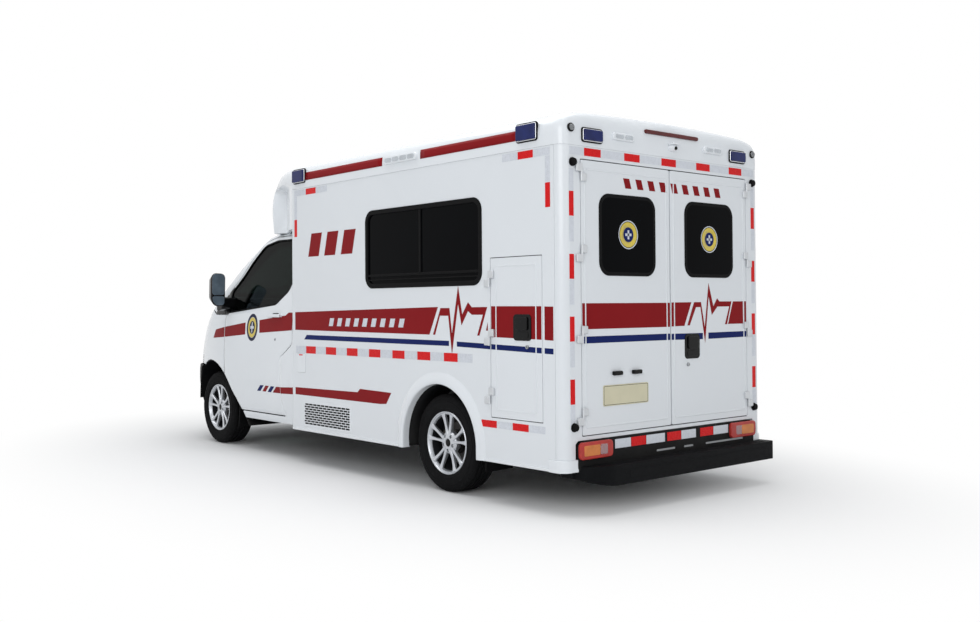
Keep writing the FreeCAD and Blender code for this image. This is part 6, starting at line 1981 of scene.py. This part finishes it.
# ---- stage ----
def show_white(tree, lit, bright, out, fade=None):
    """Plain white of strength 1 to the camera, to gloss and through glass; the lit surface to everything else."""
    bright.inputs[0].default_value, bright.inputs[1].default_value = (1, 1, 1, 1), 1.0
    rays = node(tree, "ShaderNodeLightPath")
    last = rays.outputs["Is Camera Ray"]
    steps = [("MAXIMUM", rays.outputs["Is Glossy Ray"]), ("MAXIMUM", rays.outputs["Is Transmission Ray"])]
    for operation, other in steps + ([("MULTIPLY", fade)] if fade else []):
        step = node(tree, "ShaderNodeMath", operation=operation)
        tree.links.new(last, step.inputs[0])
        tree.links.new(other, step.inputs[1])
        last = step.outputs[0]
    mix = node(tree, "ShaderNodeMixShader")
    for i, socket in enumerate((last, lit, bright.outputs[0])):
        tree.links.new(socket, mix.inputs[i])
    tree.links.new(mix.outputs[0], out.inputs[0])


EYE = (-7.650, 5.679, 1.3575)                # place of the camera
EYE_TURN = (-41.21, 0.839, -0.416)           # its yaw, pitch and roll in degrees
SENSOR, LENS = 36, 38.01306122               # width of its sensor and focal length in millimetres
LENS_SHIFT = (-0.012520408, -0.021122449)    # in widths of the picture


def stage(look):
    """Camera, pale floor, even sky and three soft lamps."""
    scene = bpy.context.scene
    scene.view_settings.view_transform = "Standard"
    camera = bpy.data.objects.new("camera", bpy.data.cameras.new("camera"))
    scene.collection.objects.link(camera)
    scene.camera = camera
    yaw, pitch, roll = (math.radians(a) for a in EYE_TURN)
    ahead = Vector((math.cos(yaw) * math.cos(pitch), math.sin(yaw) * math.cos(pitch), math.sin(pitch)))
    right = ahead.cross(Vector((0, 0, 1))).normalized()
    up = right.cross(ahead)
    right, up = math.cos(roll) * right + math.sin(roll) * up, math.cos(roll) * up - math.sin(roll) * right
    turn = Matrix((right, up, -ahead)).transposed().to_4x4()
    camera.matrix_world = Matrix.Translation(EYE) @ turn
    camera.data.sensor_width, camera.data.lens = SENSOR, LENS
    camera.data.shift_x, camera.data.shift_y = LENS_SHIFT
    camera.data.clip_end = 400

    rest()
    bpy.ops.mesh.primitive_plane_add(size=240, location=(0, 0, -0.001))
    floor = named("floor")
    paper = bpy.data.materials.new("floor_white")
    paper.use_nodes = True
    tree = paper.node_tree
    body = tree.nodes["Principled BSDF"]
    body.inputs["Base Color"].default_value = (0.94, 0.94, 0.94, 1)
    body.inputs["Roughness"].default_value = 0.9
    body.inputs["Specular IOR Level"].default_value = 0.1
    where = node(tree, "ShaderNodeTexCoord")
    oval = node(tree, "ShaderNodeMapping", Scale=(0.62, 1, 1))
    far = node(tree, "ShaderNodeVectorMath", operation="LENGTH")
    fade = node(tree, "ShaderNodeMapRange", interpolation_type="SMOOTHSTEP", From_Min=1.35, From_Max=3.6)
    tree.links.new(where.outputs["Object"], oval.inputs["Vector"])
    tree.links.new(oval.outputs[0], far.inputs[0])
    tree.links.new(far.outputs["Value"], fade.inputs["Value"])
    show_white(tree, body.outputs[0], node(tree, "ShaderNodeEmission"), tree.nodes["Material Output"], fade.outputs[0])
    floor.data.materials.append(paper)

    world = bpy.data.worlds.new("studio")
    scene.world = world
    world.use_nodes = True
    tree = world.node_tree
    tree.nodes.clear()
    lit = node(tree, "ShaderNodeBackground", Color=(0.92, 0.96, 1.0, 1), Strength=look.sky)
    show_white(tree, lit.outputs[0], node(tree, "ShaderNodeBackground"), node(tree, "ShaderNodeOutputWorld"))

    def lamp(name, spot, aim, size, power):
        data = bpy.data.lights.new(name, "AREA")
        data.shape, data.size, data.size_y, data.energy = "RECTANGLE", size[0], size[1], power
        obj = bpy.data.objects.new(name, data)
        scene.collection.objects.link(obj)
        obj.location = spot
        obj.rotation_euler = (Vector(aim) - Vector(spot)).to_track_quat("-Z", "Y").to_euler()
    lamp("overhead", (-0.5, 1.0, 7.5), (0, 0, 0), (9, 6), look.overhead)
    lamp("left_bank", (-8.2, 8.8, 4.6), (-0.5, 0, 1.2), (8, 5), look.bank)
    lamp("rear_bank", (-11.5, -1.5, 4.2), (0, 0, 1.2), (7, 5), look.bank * 0.20)


# ---- add-on layout ----
class AmbulanceLook(bpy.types.PropertyGroup):
    """Colours and light that a user may change"""
    paint: bpy.props.FloatVectorProperty(
        name="Paint", description="Body paint", subtype="COLOR", size=3, min=0, max=1, default=srgb(232, 236, 240))
    red: bpy.props.FloatVectorProperty(
        name="Red film", description="Red stripe film", subtype="COLOR", size=3, min=0, max=1,
        default=srgb(136, 22, 27))
    blue: bpy.props.FloatVectorProperty(
        name="Blue film", description="Blue stripe film", subtype="COLOR", size=3, min=0, max=1,
        default=srgb(22, 36, 94))
    sky: bpy.props.FloatProperty(
        name="Sky light", description="Strength of the even light from all round", default=0.40, min=0)
    overhead: bpy.props.FloatProperty(
        name="Overhead lamp", description="Power of the overhead lamp", unit="POWER", default=350.0, min=0)
    bank: bpy.props.FloatProperty(
        name="Side lamps", description="Power of the side lamps", unit="POWER", default=330.0, min=0)


class AmbulanceSizes(bpy.types.PropertyGroup):
    """Sizes that a user may change"""
    shut_line: bpy.props.FloatProperty(
        name="Shut line", description="Gap round the cab doors", unit="LENGTH", default=0.006, min=0.001)
    fog_lamp: bpy.props.FloatProperty(
        name="Fog lamp", description="Radius of the fog lamps", unit="LENGTH", default=0.05, min=0.001)
    latch: bpy.props.FloatProperty(
        name="Latch", description="Width and height of the side doors' latches", unit="LENGTH", default=0.176,
        min=0.001)
    badge: bpy.props.FloatProperty(
        name="Window badge", description="Radius of the badges on the rear windows", unit="LENGTH", default=0.085,
        min=0.001)
    beacon_length: bpy.props.FloatProperty(
        name="Beacon length", description="Length of the side warning lamps", unit="LENGTH", default=0.206, min=0.001)
    beacon_height: bpy.props.FloatProperty(
        name="Beacon height", description="Height of the side warning lamps", unit="LENGTH", default=0.128, min=0.001)
    tape: bpy.props.FloatProperty(
        name="Waist tape", description="Height of the tape along the sides", unit="LENGTH", default=0.062, min=0.001)
    step_ribs: bpy.props.IntProperty(
        name="Step ribs", description="Number of ribs on the rear step", default=8, min=1, max=9)


def build(context, work, *values):
    """Mixes the finishes before the first piece, then makes the pieces."""
    if not hasattr(F, "paint"):
        mix_finishes(context.scene.ambulance_look)
    work(*values)
    return {"FINISHED"}


class AMBULANCE_OT_stage(bpy.types.Operator):
    """Camera, floor, sky and lamps"""
    bl_idname = "ambulance.stage"
    bl_label = "Stage"

    def execute(self, context):
        return build(context, stage, context.scene.ambulance_look)


class AMBULANCE_OT_cab_panels(bpy.types.Operator):
    """Doors, wings, pillars, bonnet and glass of the cab"""
    bl_idname = "ambulance.cab_panels"
    bl_label = "Cab panels"

    def execute(self, context):
        return build(context, cab_panels, context.scene.ambulance_sizes)


class AMBULANCE_OT_door_fittings(bpy.types.Operator):
    """Handles, locks and mirrors of the cab doors"""
    bl_idname = "ambulance.door_fittings"
    bl_label = "Cab door fittings"

    def execute(self, context):
        return build(context, door_fittings)


class AMBULANCE_OT_nose(bpy.types.Operator):
    """Headlamps, grille, bumper and fog lamps"""
    bl_idname = "ambulance.nose"
    bl_label = "Nose"

    def execute(self, context):
        return build(context, nose, context.scene.ambulance_sizes)


class AMBULANCE_OT_nose_trim(bpy.types.Operator):
    """Blank plate, grille boss, intake slats and wipers"""
    bl_idname = "ambulance.nose_trim"
    bl_label = "Nose trim"

    def execute(self, context):
        return build(context, nose_trim)


class AMBULANCE_OT_cab_inside(bpy.types.Operator):
    """Floor, fire wall, sills, liners and mud flaps"""
    bl_idname = "ambulance.cab_inside"
    bl_label = "Cab inside"

    def execute(self, context):
        return build(context, cab_inside)


class AMBULANCE_OT_dashboard(bpy.types.Operator):
    """Dashboard with its dials, vents and screen"""
    bl_idname = "ambulance.dashboard"
    bl_label = "Dashboard"

    def execute(self, context):
        return build(context, dashboard)


class AMBULANCE_OT_steering_wheel(bpy.types.Operator):
    """Steering wheel and its column"""
    bl_idname = "ambulance.steering_wheel"
    bl_label = "Steering wheel"

    def execute(self, context):
        return build(context, steering_wheel)


class AMBULANCE_OT_seats(bpy.types.Operator):
    """Two padded front seats"""
    bl_idname = "ambulance.seats"
    bl_label = "Seats"

    def execute(self, context):
        return build(context, seats)


class AMBULANCE_OT_engine_bay(bpy.types.Operator):
    """Cooling pack and boxes under the bonnet"""
    bl_idname = "ambulance.engine_bay"
    bl_label = "Engine bay"

    def execute(self, context):
        return build(context, engine_bay)


class AMBULANCE_OT_wheels(bpy.types.Operator):
    """Tyres, alloy rims and brakes"""
    bl_idname = "ambulance.wheels"
    bl_label = "Wheels"

    def execute(self, context):
        return build(context, wheels)


class AMBULANCE_OT_side_walls(bpy.types.Operator):
    """Walls, wheel flares, posts and side windows"""
    bl_idname = "ambulance.side_walls"
    bl_label = "Side walls"

    def execute(self, context):
        return build(context, side_walls)


class AMBULANCE_OT_box_inside(bpy.types.Operator):
    """Linings, floor mat and the locker's box"""
    bl_idname = "ambulance.box_inside"
    bl_label = "Box inside"

    def execute(self, context):
        return build(context, box_inside)


class AMBULANCE_OT_side_doors(bpy.types.Operator):
    """Locker door and entry door"""
    bl_idname = "ambulance.side_doors"
    bl_label = "Side doors"

    def execute(self, context):
        return build(context, side_doors, context.scene.ambulance_sizes)


class AMBULANCE_OT_rear_end(bpy.types.Operator):
    """Rear frame, corner posts, seals and door buffers"""
    bl_idname = "ambulance.rear_end"
    bl_label = "Rear frame"

    def execute(self, context):
        return build(context, rear_end)


class AMBULANCE_OT_rear_doors(bpy.types.Operator):
    """Rear doors with their glass and fittings"""
    bl_idname = "ambulance.rear_doors"
    bl_label = "Rear doors"

    def execute(self, context):
        return build(context, rear_doors, context.scene.ambulance_sizes)


class AMBULANCE_OT_roof_cap(bpy.types.Operator):
    """Roof cap with the fairing over the cab"""
    bl_idname = "ambulance.roof_cap"
    bl_label = "Roof cap"

    def execute(self, context):
        return build(context, roof_cap)


class AMBULANCE_OT_roof_lamps(bpy.types.Operator):
    """Warning lamps, work lamps and camera"""
    bl_idname = "ambulance.roof_lamps"
    bl_label = "Roof lamps"

    def execute(self, context):
        return build(context, roof_lamps, context.scene.ambulance_sizes)


class AMBULANCE_OT_rear_step(bpy.types.Operator):
    """Step bumper and tail lamps"""
    bl_idname = "ambulance.rear_step"
    bl_label = "Rear step"

    def execute(self, context):
        return build(context, rear_step, context.scene.ambulance_sizes)


class AMBULANCE_OT_side_livery(bpy.types.Operator):
    """Stripes and tape on the sides"""
    bl_idname = "ambulance.side_livery"
    bl_label = "Side stripes"

    def execute(self, context):
        return build(context, side_livery, context.scene.ambulance_sizes)


class AMBULANCE_OT_side_vent(bpy.types.Operator):
    """Filler flap and louvred vent"""
    bl_idname = "ambulance.side_vent"
    bl_label = "Side vent"

    def execute(self, context):
        return build(context, side_vent)


class AMBULANCE_OT_rear_livery(bpy.types.Operator):
    """Stripes and tape on the back"""
    bl_idname = "ambulance.rear_livery"
    bl_label = "Rear stripes"

    def execute(self, context):
        return build(context, rear_livery)


class AMBULANCE_OT_cab_livery(bpy.types.Operator):
    """Stripes and badge on the cab"""
    bl_idname = "ambulance.cab_livery"
    bl_label = "Cab stripes"

    def execute(self, context):
        return build(context, cab_livery)


class AMBULANCE_OT_underneath(bpy.types.Operator):
    """Finishes of the running gear and rear liners"""
    bl_idname = "ambulance.underneath"
    bl_label = "Underneath"

    def execute(self, context):
        return build(context, underneath)


OPERATORS = (
    AMBULANCE_OT_stage, AMBULANCE_OT_cab_panels, AMBULANCE_OT_door_fittings, AMBULANCE_OT_nose,
    AMBULANCE_OT_nose_trim, AMBULANCE_OT_cab_inside, AMBULANCE_OT_dashboard, AMBULANCE_OT_steering_wheel,
    AMBULANCE_OT_seats, AMBULANCE_OT_engine_bay, AMBULANCE_OT_wheels, AMBULANCE_OT_side_walls,
    AMBULANCE_OT_box_inside, AMBULANCE_OT_side_doors, AMBULANCE_OT_rear_end, AMBULANCE_OT_rear_doors,
    AMBULANCE_OT_roof_cap, AMBULANCE_OT_roof_lamps, AMBULANCE_OT_rear_step, AMBULANCE_OT_side_livery,
    AMBULANCE_OT_side_vent, AMBULANCE_OT_rear_livery, AMBULANCE_OT_cab_livery, AMBULANCE_OT_underneath,
)


class AMBULANCE_PT_panel(bpy.types.Panel):
    """Lists the colours, the light, the sizes and the building steps"""
    bl_label = "Ambulance"
    bl_idname = "AMBULANCE_PT_panel"
    bl_space_type = "VIEW_3D"
    bl_region_type = "UI"
    bl_category = "Ambulance"

    def draw(self, context):
        for group in (context.scene.ambulance_look, context.scene.ambulance_sizes):
            for key in group.__annotations__:
                self.layout.prop(group, key)
        for kind in OPERATORS:
            self.layout.operator(kind.bl_idname)


CLASSES = (AmbulanceLook, AmbulanceSizes, *OPERATORS, AMBULANCE_PT_panel)


def register():
    for kind in CLASSES:
        bpy.utils.register_class(kind)
    bpy.types.Scene.ambulance_look = bpy.props.PointerProperty(type=AmbulanceLook)
    bpy.types.Scene.ambulance_sizes = bpy.props.PointerProperty(type=AmbulanceSizes)


def unregister():
    del bpy.types.Scene.ambulance_look
    del bpy.types.Scene.ambulance_sizes
    for kind in reversed(CLASSES):
        bpy.utils.unregister_class(kind)


def main():
    register()
    for kind in OPERATORS:
        getattr(bpy.ops.ambulance, kind.bl_idname.split(".")[1])()
    bpy.context.view_layer.update()


if __name__ == "__main__":
    main()
